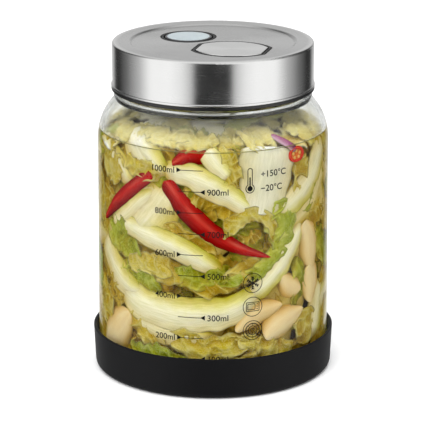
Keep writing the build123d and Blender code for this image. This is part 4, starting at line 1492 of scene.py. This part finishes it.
def on_wall(across: np.ndarray, height: np.ndarray, depth: np.ndarray) -> np.ndarray:
    """Bends flat food to the jar: arc length, height and depth behind the glass.

    Above the brine the food folds inwards round the heap's rim, on a quarter of an arc and
    then level, and its depth turns from behind to below. Its radius also shrinks along the
    shoulder's arc, and near the floor along the heel's arc, and grows by 0.3 towards the
    floor, as the glass does.

    Args:
        across: arc length from the front.
        height: height, or past the heap's rim the way run along the fold.
        depth: depth behind the glass.

    Returns:
        The points.
    """
    past = np.maximum(height - HEAP_RIM_Z, 0)
    fold = np.minimum(past / HEAP_RIM_R, math.pi / 2)
    z = np.where(past > 0, HEAP_RIM_Z + HEAP_RIM_R * np.sin(fold), height)
    level = np.maximum(past - HEAP_RIM_R * math.pi / 2, 0)
    inward = HEAP_RIM_R * (1 - np.cos(fold)) + level + depth * np.cos(fold)
    shoulder = fall_back(SHOULDER_ARC, np.clip(z - SHOULDER_Z, 0, 23.0))
    heel = fall_back(HEEL_ARC, np.clip(HEEL_Z - z, 0, 6.0))
    radius = FOOD_R + 0.3 * np.clip((60.0 - z) / 60.0, 0, 1) - inward - shoulder - heel
    turn = across / FOOD_R
    return stacked(radius * np.sin(turn), -radius * np.cos(turn), z - depth * np.sin(fold))


def on_heap(across: np.ndarray, back: np.ndarray, depth: np.ndarray) -> np.ndarray:
    """Lays flat food on a low dome: its height falls with the square of the way out.

    Args:
        across: place to the right of the dome's middle.
        back: place behind it.
        depth: depth under the dome's face.

    Returns:
        The points.
    """
    return stacked(across, back, HEAP_TOP_Z - HEAP_FALL * (across**2 + back**2) - depth)


def bowed(
    middle: np.ndarray, slant: float, reach: float, bow: float
) -> tuple[np.ndarray, np.ndarray]:
    """Gives a line of three points that bows to one side of its middle.

    Args:
        middle: the place between its ends.
        slant: its direction, in radians.
        reach: the way from the middle to each end.
        bow: how far the middle point is set to the side.

    Returns:
        The three points, and the direction to the side.
    """
    way, side = heading(slant)
    return np.array([middle - reach * way, middle + bow * side, middle + reach * way]), side


@dataclass
class Slip:
    """One long piece of food along the glass or on top of the heap.

    Its line is given by a few points (arc length from the front and height, or its place on
    the heap), with its largest half width, its depth behind the glass or under the heap's
    face and its relative width at both ends.
    """

    kind: Food
    line: Sequence[Pair]
    width: float
    depth: float = 0.3
    taper: Pair = (0.6, 0.5)
    seed: int = 1
    on_top: bool = False

    def grid(
        self, along: int, around: int
    ) -> tuple[np.ndarray, np.ndarray, dict[str, np.ndarray]]:
        """Works out the points, the pattern coordinates and the marks of the piece.

        A closed flat section is carried along the line. It is thick in the middle and thin at
        the margins and curls away from the glass towards them, where it also waves. The face
        is folded along the zero lines of a smooth noise, whose ridges come towards the glass.
        A plump piece has a painted highlight, a broken streak of shine, along it instead of pale
        creases, and on the others the pale creases and margins are a painted highlight.
        Nothing comes closer to the glass than most of its depth, so that what is pressed on
        it lies flat and the pieces keep their order.

        Args:
            along: points along the line.
            around: points round the section.

        Returns:
            The points, the pattern coordinates, and how leafy, creased and covering each is.
        """
        habit = HABITS[self.kind]
        # The line, its direction to the side and its length.
        centre = smooth_line(self.line, along)
        way = np.gradient(centre, axis=0)
        length = float(np.sum(np.linalg.norm(np.diff(centre, axis=0), axis=1)))
        way /= np.linalg.norm(way, axis=1)[:, None]
        side = np.stack([-way[:, 1], way[:, 0]], -1)
        # How the ends close, on a quarter of a circle, and the half width that they leave.
        t = np.linspace(0, 1, along)
        from_end = np.minimum(t, 1 - t)
        close = np.clip(from_end / habit.ends, 0, 1)
        close = np.sqrt(np.clip(1 - (1 - close) ** 2, 0, 1))
        widths = smooth_line([[self.taper[0]], [1.0], [self.taper[1]]], along)[:, 0]
        half = (self.width * close * widths)[:, None]
        # The section: a is its place across and b its place in the thickness, both -1 to 1.
        cos, sin = np.cos(circle(around))[None, :], np.sin(circle(around))[None, :]
        a = np.sign(cos) * np.abs(cos) ** (2 / habit.square)
        b = np.sign(sin) * np.abs(sin) ** (2 / habit.square)
        # The outline, roughened with the way run along it, each side for itself.
        run, edge = t[:, None] * length, np.sign(a) * 3.0
        rate = math.tau / habit.wave_mm / 1.25
        rough = ripple(run * rate * 1.6, edge, self.seed)
        rough = rough + 1.6 * ripple(run * 0.25, edge, self.seed + 5)
        spread = half * a * (1 + habit.ragged * rough)
        flat = centre[:, None, :] + side[:, None, :] * spread[..., None]
        across, height = flat[..., 0], flat[..., 1]
        # The thickness, half of it to each side, and less at the ends and in small pieces.
        thick = (habit.margin + (habit.thick - habit.margin) * np.exp(-((a / 0.5) ** 2))) / 2
        thinner = half / half.max() if habit.plump else np.sqrt(close)[:, None]
        thick = thick * thinner * np.clip(self.width / 6.0, 0.4, 1.0)
        # The waves of the sides and the folds of the face.
        flap = habit.wave * np.abs(a) ** 2 * ripple(run * rate, edge, self.seed + 3)
        fine = math.tau / habit.fold_mm / 1.25
        bend = ripple(across * fine * 0.6, height * fine * 0.6, self.seed + 2)
        noise = ripple(across * fine + bend, height * fine - bend, self.seed + 1)
        ridge = np.exp(-np.abs(noise) / 0.22)
        folds = habit.fold * (0.5 - 1.6 * ridge + 0.5 * bend)
        # The depth of each point, which grows as the ends dive in behind their neighbours.
        depth = self.depth + thick.max(1, keepdims=True) + habit.curl * half * a**2
        depth = depth + flap + folds - thick * b
        depth = depth + habit.dive * np.clip(1 - from_end / 0.22, 0, 1)[:, None] ** 2
        depth = np.maximum(depth, 0.1 + 0.6 * self.depth - 0.02 * b)
        # What the material reads. The crease mark is a painted highlight: pale on fold ridges and
        # margins, and a broken shine streak along plump pieces.
        margin = 1 - np.abs(a)
        patchy = np.clip(0.5 + 0.7 * ripple(run * 0.25, edge, self.seed + 7), 0, 1)
        shine = np.exp(-(((a - 0.3) / 0.2) ** 2)) * patchy
        pale = shine if habit.plump else np.maximum(ridge**2, np.exp(-((margin / 0.15) ** 2)))
        thin = max(habit.thin, 1e-3)
        rim = np.minimum(margin / thin, close[:, None] / (2 * thin))
        marks = {
            "leafy": np.clip(0.42 * (a + 1) + 0.3 * t[:, None] ** 2, 0, 1),
            "crease": habit.pale * pale,
            "cover": np.clip(0.25 + 0.75 * rim, 0, 1) if habit.thin else 1.0,
        }
        laid = (on_heap if self.on_top else on_wall)(across, height, depth)
        return laid, stacked(run / 10, (a + 1) / 2), marks

    def build(self, along: int = 60, around: int = 44) -> bpy.types.Object:
        """Makes the piece's mesh, closed round its section and to a pole at each end.

        Args:
            along: points along the line.
            around: points round the section.

        Returns:
            The piece.
        """
        grid, uv, marks = self.grid(along, around)
        grid[0] = grid[0].mean(0)
        grid[-1] = grid[-1].mean(0)
        return surface(self.kind.value, grid, uv, round_second=True, crease=80, marks=marks)


@dataclass
class ChilliRing:
    """A cut ring of chilli, seen a little from the side, so that it is wider than high."""

    across: float
    height: float
    radius: float
    wide: float = 1.35
    rim_r: float = 0.65
    rim_depth: float = 0.8
    web_front: float = 0.9
    web_back: float = 1.3
    seed_r: float = 0.85
    # Cut skin: a bright orange red rim with a wet gloss.
    skin: Vegetable = Vegetable(
        "chilli_ring_pickled", ((0.2, "#DE3A1C"), (0.8, "#BC1E0C")), "#AE1C0C", vein_mm=2.0,
        vein_mix=0.2, roughness=0.25, blotch=0.4, gloss=0.2,
    )
    # Inner flesh: a dull orange web between the rim's sides.
    flesh: Vegetable = Vegetable(
        "chilli_flesh_pickled", ((0.2, "#F48A3E"), (0.8, "#DE5A20")), "#C84E1A", vein_mm=2.0,
        blotch=0.4,
    )
    # Seeds: small pale yellow grains on the web.
    seeds: Vegetable = Vegetable(
        "chilli_seed_pickled", ((0.2, "#F6CE84"), (0.8, "#E8AC54")), "#D89C48", vein_mix=0.1,
        glow=0.1, blotch=0.2,
    )

    def rim(self) -> bpy.types.Object:
        """Carries a round section along an ellipse.

        Returns:
            The rim.
        """
        turn, section = circle(48)[:, None], circle(14)[None, :]
        reach = self.radius - self.rim_r + self.rim_r * np.cos(section)
        x = self.across + self.wide * np.cos(turn) * reach
        z = self.height + np.sin(turn) * reach
        points = on_wall(x, z, self.rim_depth + 0.7 * np.sin(section))
        uv = stacked(turn * self.radius / 10, section / math.tau)
        return surface(
            "food_ring_rim", points, uv, round_first=True, round_second=True, marks=PLAIN
        )

    def web(self) -> bpy.types.Object:
        """Closes a thin lens: rings that grow from its middle in front and shrink behind.

        Returns:
            The web.
        """
        share = np.array([0.0, 0.3, 0.6, 0.9, 0.9, 0.6, 0.3, 0.0])[:, None]
        depth = np.repeat([self.web_front, self.web_back], 4)[:, None]
        reach, turn = (self.radius - 0.8) * share, circle(48)[None, :]
        x = self.across + self.wide * reach * np.cos(turn)
        points = on_wall(x, self.height + reach * np.sin(turn), depth)
        uv = stacked(share, turn / math.tau)
        return surface("food_ring_web", points, uv, round_second=True, marks=PLAIN)

    def grains(self) -> bpy.types.Object:
        """Sets five flattened balls on the web.

        Returns:
            The seeds as one piece.
        """
        bow, around = np.linspace(-math.pi / 2, math.pi / 2, 9)[:, None], circle(12)[None, :]
        uv, made = stacked(bow / 3, around / math.tau), []
        for angle in np.radians((20, 95, 160, 235, 310)):
            x, z = self.across + 2.3 * math.cos(angle), self.height + 1.7 * math.sin(angle)
            points = on_wall(
                x + self.seed_r * np.cos(bow) * np.cos(around),
                z + self.seed_r * np.sin(bow),
                0.75 + 0.3 * np.cos(bow) * np.sin(around),
            )
            made.append(surface("seed", points, uv, round_second=True, marks=PLAIN))
        return joined("food_ring_seeds", made)

    def build(self) -> None:
        """Makes the rim, the web and the seeds, which ride on the jar."""
        keep(self.rim(), "jar", self.skin.build())
        keep(self.web(), "jar", self.flesh.build())
        keep(self.grains(), "jar", self.seeds.build())


@dataclass
class Brine:
    """The brine: a clear yellowish body with a painted dark line where its level meets the glass.
    """

    radius: float = FOOD_R + 0.35
    floor_z: float = 9.25
    heel_r: float = 6.0
    # Still brine: clear and faintly yellow, with a level top that mirrors a little.
    clear: ClearBody = ClearBody("brine_clear", "#FBF8E4", ior=1.33)
    # The edge of its level: a thin olive line round the glass, a painted dark line for the light
    # that the curved meniscus turns away.
    line: Moulded = Moulded("brine_meniscus_dark", "#7E7838", 0.4, 1.0, 0.002)

    def profile(self) -> list[Pair]:
        """Draws the section: the floor, the heel's arc, the wall and the level top.

        Returns:
            Radius and height of each point.
        """
        r, heel = self.radius, self.heel_r
        line = [(0.0, self.floor_z), (r - heel - 0.4, self.floor_z)]
        line += arc((r - heel, self.floor_z + heel), heel, -85, 0, 8)
        line += straight((r - 0.1, 20.0), (r - 0.1, 117.0), 12)
        return line + [(r - 0.35, BRINE_Z - 0.3), (r - 0.9, BRINE_Z), (0.0, BRINE_Z)]

    def build(self) -> None:
        """Makes the body, whose side has a finish of its own, and the line at its level."""
        body = surface("brine", turned(self.profile(), 96), round_second=True)
        keep(body, "jar", self.clear.build())
        body.data.materials.append(BrineSide().build())
        below = (BRINE_Z - 0.4) * MM
        numbers = [int(face.center.z < below) for face in body.data.polygons]
        body.data.polygons.foreach_set("material_index", numbers)
        turn = circle(10)
        ring = stacked(
            self.radius - 0.75 + 0.2 * np.cos(turn), BRINE_Z - 0.2 + 0.22 * np.sin(turn)
        )
        edge = surface("brine_line", turned(ring, 160), round_first=True, round_second=True)
        keep(edge, "jar", self.line.build())


@dataclass
class Contents:
    """Pickled cabbage, chillies and garlic in brine, packed against the glass.

    The fill keeps between low_z and top_z, and front_half is the half of the front, as arc
    length, that the listed pieces take up. fine and coarse are the points along and
    round a listed piece and a piece of the fill.
    """

    seed: int = 7
    low_z: float = 13.0
    top_z: float = 129.0
    front_half: float = 72.0
    core_r: float = 47.5
    core_low_z: float = 9.4
    core_wall: Pair = (9.6, 120.0)
    core_rise: float = 7.0
    fine: tuple[int, int] = (60, 44)
    coarse: tuple[int, int] = (30, 22)
    made: dict[Food, list[bpy.types.Object]] = field(
        default_factory=lambda: {kind: [] for kind in Food}
    )

    def lay(self, slip: Slip, points: tuple[int, int]) -> None:
        """Builds one slip and keeps it with its kind. Its seed comes from its number.

        Args:
            slip: the slip.
            points: points along it and round it.
        """
        slip.seed = 11 * sum(len(parts) for parts in self.made.values()) + self.seed
        self.made[slip.kind].append(slip.build(*points))

    def clipped(self, line: np.ndarray) -> np.ndarray:
        """Keeps the heights of a line's points between the fill's lowest and highest."""
        return np.clip(line, (-math.inf, self.low_z), (math.inf, self.top_z))

    def fill(self) -> None:
        """Packs the wall all round with slanted, bowed slips on a shaken grid.

        Each rib carries a leaf along one side. At the front the fill starts behind the listed
        pieces, and at the sides and back it starts at the glass.
        """
        rng, half_turn = np.random.default_rng(self.seed), FOOD_R * math.pi
        for layer, step in enumerate((19.0, 20.0)):
            for row, height in enumerate(np.arange(17.0, 130.0, 12.5)):
                for across in np.arange(-half_turn, half_turn - 5, step) + (row % 2) * step / 2:
                    if layer == 0 and abs(across) < self.front_half:
                        continue
                    s, z = across + rng.uniform(-4, 4), height + rng.uniform(-3, 3)
                    slant = math.radians(rng.choice((-1, 1)) * rng.uniform(5, 70))
                    reach, bow = rng.uniform(13, 21), rng.uniform(-5, 5)
                    line, side = bowed(np.array([s, z]), slant, reach, bow)
                    line = self.clipped(line)
                    width = rng.uniform(6.5, 10.5)
                    depth = 0.3 + layer * 3.0 + rng.uniform(0, 2.2)
                    kind = rng.choice((Food.RIB, Food.LEAF, Food.GREEN), p=(0.5, 0.36, 0.14))
                    self.lay(Slip(kind, line, width, depth), self.coarse)
                    if kind is Food.RIB:
                        leaf = rng.choice((Food.LEAF, Food.GREEN), p=(0.7, 0.3))
                        beside = self.clipped(line + 6 * side)
                        self.lay(Slip(leaf, beside, width, depth + 1.0), self.coarse)

    def heap(self) -> None:
        """Lays bowed leaves and ribs flat on top, from the rim of the heap inwards."""
        rng = np.random.default_rng(self.seed + 1)
        rings = ((42.0, 18, 1.4), (31.0, 12, 0.8), (19.0, 8, 0.4), (6.0, 4, 0.0))
        for radius, count, depth in rings:
            for turn in circle(count) + rng.uniform(0, 1):
                middle = radius * heading(turn)[0] + rng.uniform(-3, 3, 2)
                slant = turn + math.pi / 2 + rng.uniform(-0.9, 0.9)
                reach, bow = rng.uniform(9, 14), rng.uniform(-3, 3)
                line, _ = bowed(middle, slant, reach, bow)
                kind = rng.choice((Food.RIB, Food.LEAF, Food.GREEN), p=(0.5, 0.38, 0.12))
                width, under = rng.uniform(6.0, 8.5), depth + rng.uniform(0, 2)
                self.lay(Slip(kind, line, width, under, (0.8, 0.8), on_top=True), self.coarse)

    def core(self) -> None:
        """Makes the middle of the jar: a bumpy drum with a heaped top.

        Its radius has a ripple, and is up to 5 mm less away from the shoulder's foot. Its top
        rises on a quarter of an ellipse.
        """
        rise = np.linspace(0, math.pi / 2, 16)[1:]
        wall = np.linspace(*self.core_wall, 90)
        top = self.core_wall[1] + self.core_rise * np.sin(rise)
        heights = np.concatenate([[self.core_low_z], wall, top])[:, None]
        share = np.concatenate([[0.0], np.ones(90), np.cos(rise)])[:, None]
        turn = circle(200)[None, :]
        less = np.clip((heights - SHOULDER_Z) ** 2 / (2 * SHOULDER_ARC), 0, 5)
        radius = (self.core_r + 1.4 * ripple(turn * 9, heights * 0.2, 5) - less) * share
        grid = stacked(radius * np.sin(turn), -radius * np.cos(turn), heights)
        grid[-1] = (0.0, 0.0, heights[-1, 0])
        uv = stacked(heights / 10, (turn * 8 / math.tau) % 1)
        # Leaves seen through much brine: an even olive brown that lets nothing through, partly the
        # brine's tint and partly painted shade deep among the pieces.
        shade = Vegetable(
            "cabbage_packed_deep", ((0.2, "#C8B45A"), (0.8, "#94802E")), "#6E5A1A",
            vein_mix=0.5, blotch=0.9,
        )
        piece = surface("food_core", grid, uv, round_second=True, marks=PLAIN)
        keep(piece, "jar", shade.build())

    def groups(self, parts: Sequence[bpy.types.Object]) -> list[list[bpy.types.Object]]:
        """Splits parts, in order, into groups that stay under the most faces of a piece.

        Args:
            parts: the parts.

        Returns:
            The groups.
        """
        groups, total = [[]], 0
        for part in parts:
            count = len(part.data.polygons)
            if total + count > MOST_FACES:
                groups.append([])
                total = 0
            groups[-1].append(part)
            total += count
        return groups

    def build(self) -> None:
        """Lays the pieces seen at the front, fills in behind and round them, and joins kinds."""
        for slip in LANDMARKS:
            self.lay(slip, self.fine)
        ChilliRing(across=44.5, height=118.0, radius=3.9).build()
        self.fill()
        self.heap()
        finishes = {kind: finish.build() for kind, finish in FINISHES.items()}
        for kind, parts in self.made.items():
            for number, group in enumerate(self.groups(parts), 1):
                keep(joined(f"food_{kind.value}_{number}", group), "jar", finishes[kind])
        self.core()
        Brine().build()


RIB, WHITE, LEAF, GREEN, ONION, CLOVE, CHILLI = Food
LANDMARKS = (
    # Upper left
    Slip(LEAF, [(-68, 122), (-60, 112), (-50, 106)], 9.0, 0.5, (0.9, 0.8)),
    Slip(LEAF, [(-52, 121), (-45, 114), (-40, 104)], 8.0, 3.6),
    Slip(RIB, [(-54, 134), (-42, 124), (-27, 106)], 8.0, 0.9, (0.9, 0.9)),
    Slip(LEAF, [(-46, 118), (-38, 112), (-26, 112)], 5.0, 0.5, (0.8, 0.8)),
    Slip(RIB, [(-46, 128), (-34, 120), (-23, 110)], 7.0, 0.7, (0.9, 0.7)),
    Slip(LEAF, [(-42, 133), (-26, 130), (-10, 132)], 7.0, 0.4, (0.8, 0.8)),
    Slip(LEAF, [(-62, 128), (-45, 131), (-28, 133)], 7.0, 0.8),
    Slip(LEAF, [(-67, 99), (-65, 87), (-64, 70)], 9.0, 1.8),
    Slip(CHILLI, [(-66, 81), (-57, 90), (-45, 100), (-31, 111)], 3.9, 0.2, (0.3, 0.85)),
    Slip(RIB, [(-62, 79), (-50, 86), (-38, 96), (-28, 104)], 6.4, 0.9, (0.8, 0.7)),
    Slip(RIB, [(-22, 104), (-30, 92), (-44, 78)], 14.0, 0.9, (0.7, 1.0)),
    Slip(RIB, [(-63, 117), (-53, 112), (-43, 103)], 6.5, 0.9, (0.8, 0.8)),
    # Left, middle
    Slip(RIB, [(-56, 84), (-40, 81), (-24, 77), (-9, 71), (5, 64)], 7.0, 0.2, (0.6, 0.6)),
    Slip(GREEN, [(-64, 79), (-52, 75), (-38, 64)], 9.0, 1.2),
    Slip(RIB, [(-68, 74), (-60, 62), (-48, 52), (-34, 50)], 8.0, 0.6, (0.9, 0.6)),
    Slip(LEAF, [(-66, 58), (-58, 52), (-50, 44)], 8.5, 2.2),
    Slip(LEAF, [(-46, 62), (-34, 65), (-20, 61)], 5.5, 0.3),
    # Upper middle
    Slip(RIB, [(-26, 114), (-9, 110), (8, 101), (25, 90)], 6.8, 0.2, (0.8, 0.6)),
    Slip(LEAF, [(-16, 107), (-6, 100), (6, 94), (20, 88)], 5.4, 2.6),
    Slip(CHILLI, [(-20, 116), (-10, 121), (0, 121)], 4.6, 1.4, (0.5, 0.9)),
    Slip(CHILLI, [(-24, 108), (-14, 95), (-2, 84), (11, 76), (29, 69)], 5.2, 0.2, (0.8, 0.14)),
    Slip(GREEN, [(-8, 108), (4, 104), (16, 98)], 4.4, 1.9),
    Slip(LEAF, [(-26, 84), (-14, 80), (2, 72)], 6.4, 2.4),
    Slip(RIB, [(-4, 125), (2, 117), (9, 110)], 5.0, 0.4, (0.9, 0.9)),
    Slip(LEAF, [(4, 127), (9, 117), (13, 105)], 5.0, 1.2),
    Slip(LEAF, [(-30, 128), (-14, 131), (4, 129)], 7.0, 1.0),
    # Upper right
    Slip(WHITE, [(30, 124), (27, 108), (23, 91)], 14.5, 0.15, (1.0, 0.8)),
    Slip(LEAF, [(16, 127), (24, 131), (34, 133)], 8.0, 0.4, (0.9, 0.9)),
    Slip(LEAF, [(2, 113), (9, 106), (19, 98), (30, 95)], 6.0, 2.0),
    Slip(RIB, [(70, 122), (60, 108), (48, 97), (30, 88)], 8.0, 0.4, (0.9, 0.6)),
    Slip(RIB, [(72, 110), (64, 98), (52, 88), (38, 82)], 8.0, 1.8, (0.9, 0.7)),
    Slip(GREEN, [(66, 108), (60, 98), (48, 90)], 8.5, 2.6),
    Slip(LEAF, [(70, 92), (62, 84), (52, 74)], 8.0, 2.2),
    Slip(LEAF, [(46, 132), (58, 128), (68, 120)], 8.0, 0.9),
    Slip(LEAF, [(52, 117), (48, 108), (44, 98)], 5.0, 1.4),
    Slip(LEAF, [(10, 130), (26, 133), (42, 131)], 6.5, 2.4),
    Slip(ONION, [(32, 129), (38, 125), (44, 120)], 2.0, 0.1, (0.7, 0.9)),
    Slip(LEAF, [(6, 78), (10, 87), (20, 92), (29, 86), (31, 76)], 4.2, 0.5),
    Slip(LEAF, [(9, 80), (17, 79), (25, 82)], 5.0, 2.8),
    Slip(GREEN, [(30, 97), (35, 85), (39, 68)], 8.5, 1.0, (0.7, 0.7)),
    # Right, garlic and the long ribs beside it
    Slip(CLOVE, [(51, 83), (56, 72), (58, 58)], 8.6, 0.3, (0.6, 0.8)),
    Slip(CLOVE, [(55, 60), (58, 51), (56, 40)], 8.6, 0.4, (0.8, 0.6)),
    Slip(CLOVE, [(36, 58), (42, 52), (48, 49)], 6.5, 0.7, (0.8, 0.8)),
    Slip(CLOVE, [(11, 33), (22, 41), (36, 44)], 6.6, 1.0, (0.6, 0.6)),
    Slip(CLOVE, [(26, 28), (35, 34), (50, 39)], 8.0, 0.3, (0.75, 0.5)),
    Slip(RIB, [(49, 84), (42, 72), (31, 59), (18, 48)], 5.4, 0.2, (0.7, 0.9)),
    Slip(GREEN, [(42, 83), (34, 72), (20, 62), (2, 57)], 5.4, 0.9),
    Slip(GREEN, [(46, 66), (48, 52), (46, 38)], 5.0, 2.2),
    Slip(RIB, [(66, 50), (64, 36), (60, 20)], 8.0, 0.8, (0.9, 0.8)),
    Slip(LEAF, [(51, 38), (52, 30), (49, 20)], 9.0, 1.2),
    # Lower middle
    Slip(LEAF, [(26, 70), (14, 62), (2, 56), (-10, 54)], 6.0, 1.6),
    Slip(GREEN, [(-22, 62), (-6, 60), (10, 64)], 7.0, 1.8),
    Slip(LEAF, [(-40, 67), (-28, 63), (-12, 62)], 7.0, 1.5),
    Slip(GREEN, [(-50, 64), (-42, 58), (-26, 52)], 7.5, 1.4),
    Slip(RIB, [(-54, 50), (-36, 44), (-14, 41), (8, 44), (26, 54)], 9.6, 0.15, (0.85, 0.55)),
    Slip(RIB, [(-46, 37), (-24, 31), (2, 31)], 6.0, 1.4, (0.8, 0.6)),
    # Lower left and floor
    Slip(CLOVE, [(-66, 17), (-57, 26), (-45, 38)], 10.5, 0.3, (0.85, 0.6)),
    Slip(LEAF, [(-70, 52), (-67, 40), (-65, 28)], 8.0, 0.9),
    Slip(LEAF, [(-45, 42), (-38, 32), (-24, 24)], 8.0, 1.8),
    Slip(LEAF, [(-24, 30), (-4, 25), (20, 27)], 7.4, 0.6),
    Slip(LEAF, [(12, 29), (26, 23), (44, 22)], 6.4, 0.8),
    Slip(GREEN, [(-46, 22), (-30, 17), (-8, 17)], 7.0, 1.1),
    Slip(LEAF, [(-6, 17), (14, 16), (40, 17)], 6.4, 1.2),
)


# Studio


@dataclass
class Studio:
    """A pale floor, soft light and a camera where the photograph was taken from.

    Its sizes are in metres. Each band of the sky is an angle from the front and the light
    that comes from there. Over the low part of the sky the front keeps at least front_light.
    """

    camera_at: tuple[float, float, float] = (0.00025, -1.1995, 0.42415)
    tilt: float = 73.87
    lens: float = 209.93
    floor_half: float = 9.0
    floor_back: float = 2.5
    sweep_r: float = 1.2
    sweep_top: float = 6.0
    aim: tuple[float, float, float] = (0.0, 0.0, 0.08)
    bands: tuple[Pair, ...] = (
        (0, 0.015), (19, 0.02), (25, 0.85), (36, 1.3), (50, 1.5), (76, 1.5), (92, 0.75),
        (114, 0.24), (134, 0.03), (146, 0.04), (156, 0.6), (180, 0.85),
    )
    front_light: float = 0.55
    top_light: float = 0.6

    def camera(self) -> None:
        """Sets the camera that was fitted to the ellipses of the lid, the boot and the brine."""
        data = bpy.data.cameras.new("camera")
        data.lens = self.lens
        data.sensor_width = 36.0
        data.clip_start = 0.05
        made = bpy.data.objects.new("camera", data)
        made.location = self.camera_at
        made.rotation_euler = (math.radians(self.tilt), 0, 0)
        bpy.context.scene.collection.objects.link(made)
        bpy.context.scene.camera = made

    def floor(self) -> None:
        """Lays a wide floor that curves up behind, as a paper sweep does.

        Its line is level, then a quarter of a circle, then upright, and it is carried from
        left to right. The steel doesn't mirror it.
        """
        half, back, sweep = self.floor_half, self.floor_back, self.sweep_r
        turn = np.linspace(0.1, math.pi / 2, 14)
        curve = stacked(back + sweep * np.sin(turn), sweep - sweep * np.cos(turn))
        run = np.vstack([(-half, 0.0), (back, 0.0), curve, (back + sweep, self.sweep_top)])
        across = np.linspace(half, -half, 4)[None, :]
        made = surface("floor", stacked(across, run[:, :1], run[:, 1:]) / MM)
        # Matt white paper: even and bright, with no gloss to show where it ends.
        material, _, shader = new_material("paper_white")
        feed(shader, {"Base Color": linear("#F7F7F7"), "Roughness": 0.9, "Specular IOR Level": 0.1})
        made.data.materials.append(material)
        made.visible_glossy = False

    def sky(self) -> None:
        """Lights by direction: two wide panels at the front, dark between and beside them.

        The angle from the front gives the light of the bands, whose darker ones at the front
        are filled higher up. Straight overhead the light is even.
        """
        world = bpy.data.worlds.new("studio")
        bpy.context.scene.world = world
        world.use_nodes = True
        world.node_tree.nodes.clear()
        node = partial(add, world.node_tree)
        way = node("TexCoord").outputs["Generated"]
        x, y, z = node("SeparateXYZ", {"Vector": way}).outputs
        back = node("Math", {0: y, 1: -1.0}, operation="MULTIPLY")
        turn = node("Math", {0: x, 1: back}, operation="ARCTAN2")
        size = node("Math", {0: turn}, operation="ABSOLUTE")
        share = node("Math", {0: size, 1: 1 / math.pi}, operation="MULTIPLY")
        # A ramp holds levels up to one, so it holds half of them and the strength is two.
        least = [self.front_light if angle < 90 else 0.0 for angle, _ in self.bands]
        low = [(angle / 180, level / 2) for angle, level in self.bands]
        raised = [(at, max(2 * level, fill) / 2) for (at, level), fill in zip(low, least)]
        smooth = {"interpolation_type": "SMOOTHSTEP"}
        over = node("MapRange", {"Value": z, "From Min": 0.08, "From Max": 0.22}, **smooth)
        high = node("MapRange", {"Value": z, "From Min": 0.6, "From Max": 0.95}, **smooth)
        ramps = {6: node("ValToRGB", {0: share}, low), 7: node("ValToRGB", {0: share}, raised)}
        around = node("Mix", {0: over, **ramps}, data_type="RGBA").outputs[2]
        top = (self.top_light, self.top_light, self.top_light, 1.0)
        colour = node("Mix", {0: high, 6: around, 7: top}, data_type="RGBA").outputs[2]
        light = node("Background", {"Color": colour, "Strength": 2.0})
        node("OutputWorld", {"Surface": light})

    def lamp(
        self, name: str, spot: tuple[float, float, float], size: float, power: float
    ) -> None:
        """Hangs a square soft box that faces the middle of the jar.

        Args:
            name: name of the lamp.
            spot: where its middle is.
            size: length of its side.
            power: its power in watts.
        """
        data = bpy.data.lights.new(name, "AREA")
        data.shape = "SQUARE"
        data.size = size
        data.energy = power
        made = bpy.data.objects.new(name, data)
        made.location = spot
        x, y, z = np.array(self.aim) - np.array(spot)
        made.rotation_euler = (math.acos(-z / math.hypot(x, y, z)), 0, math.atan2(-x, y))
        bpy.context.scene.collection.objects.link(made)
        made.visible_glossy = False
        made.visible_transmission = False

    def build(self) -> None:
        """Sets camera, floor and light, with colours shown as they are."""
        self.camera()
        self.floor()
        self.sky()
        self.lamp("soft_box_top", (0.0, -0.1, 1.5), size=1.2, power=14.0)
        self.lamp("soft_box_front", (-0.5, -1.3, 1.1), size=0.8, power=10.0)
        bpy.context.scene.view_settings.view_transform = "Standard"


def main() -> None:
    """Builds the jar, its print, its lid, its contents and the studio."""
    logging.basicConfig(level=logging.INFO, format="%(name)s: %(message)s")
    glass = GlassJar()
    Boot().dress()
    glass.build()
    PrintedScale(glass).build()
    Lid().dress()
    Contents().build()
    Studio().build()


if __name__ == "__main__":
    main()
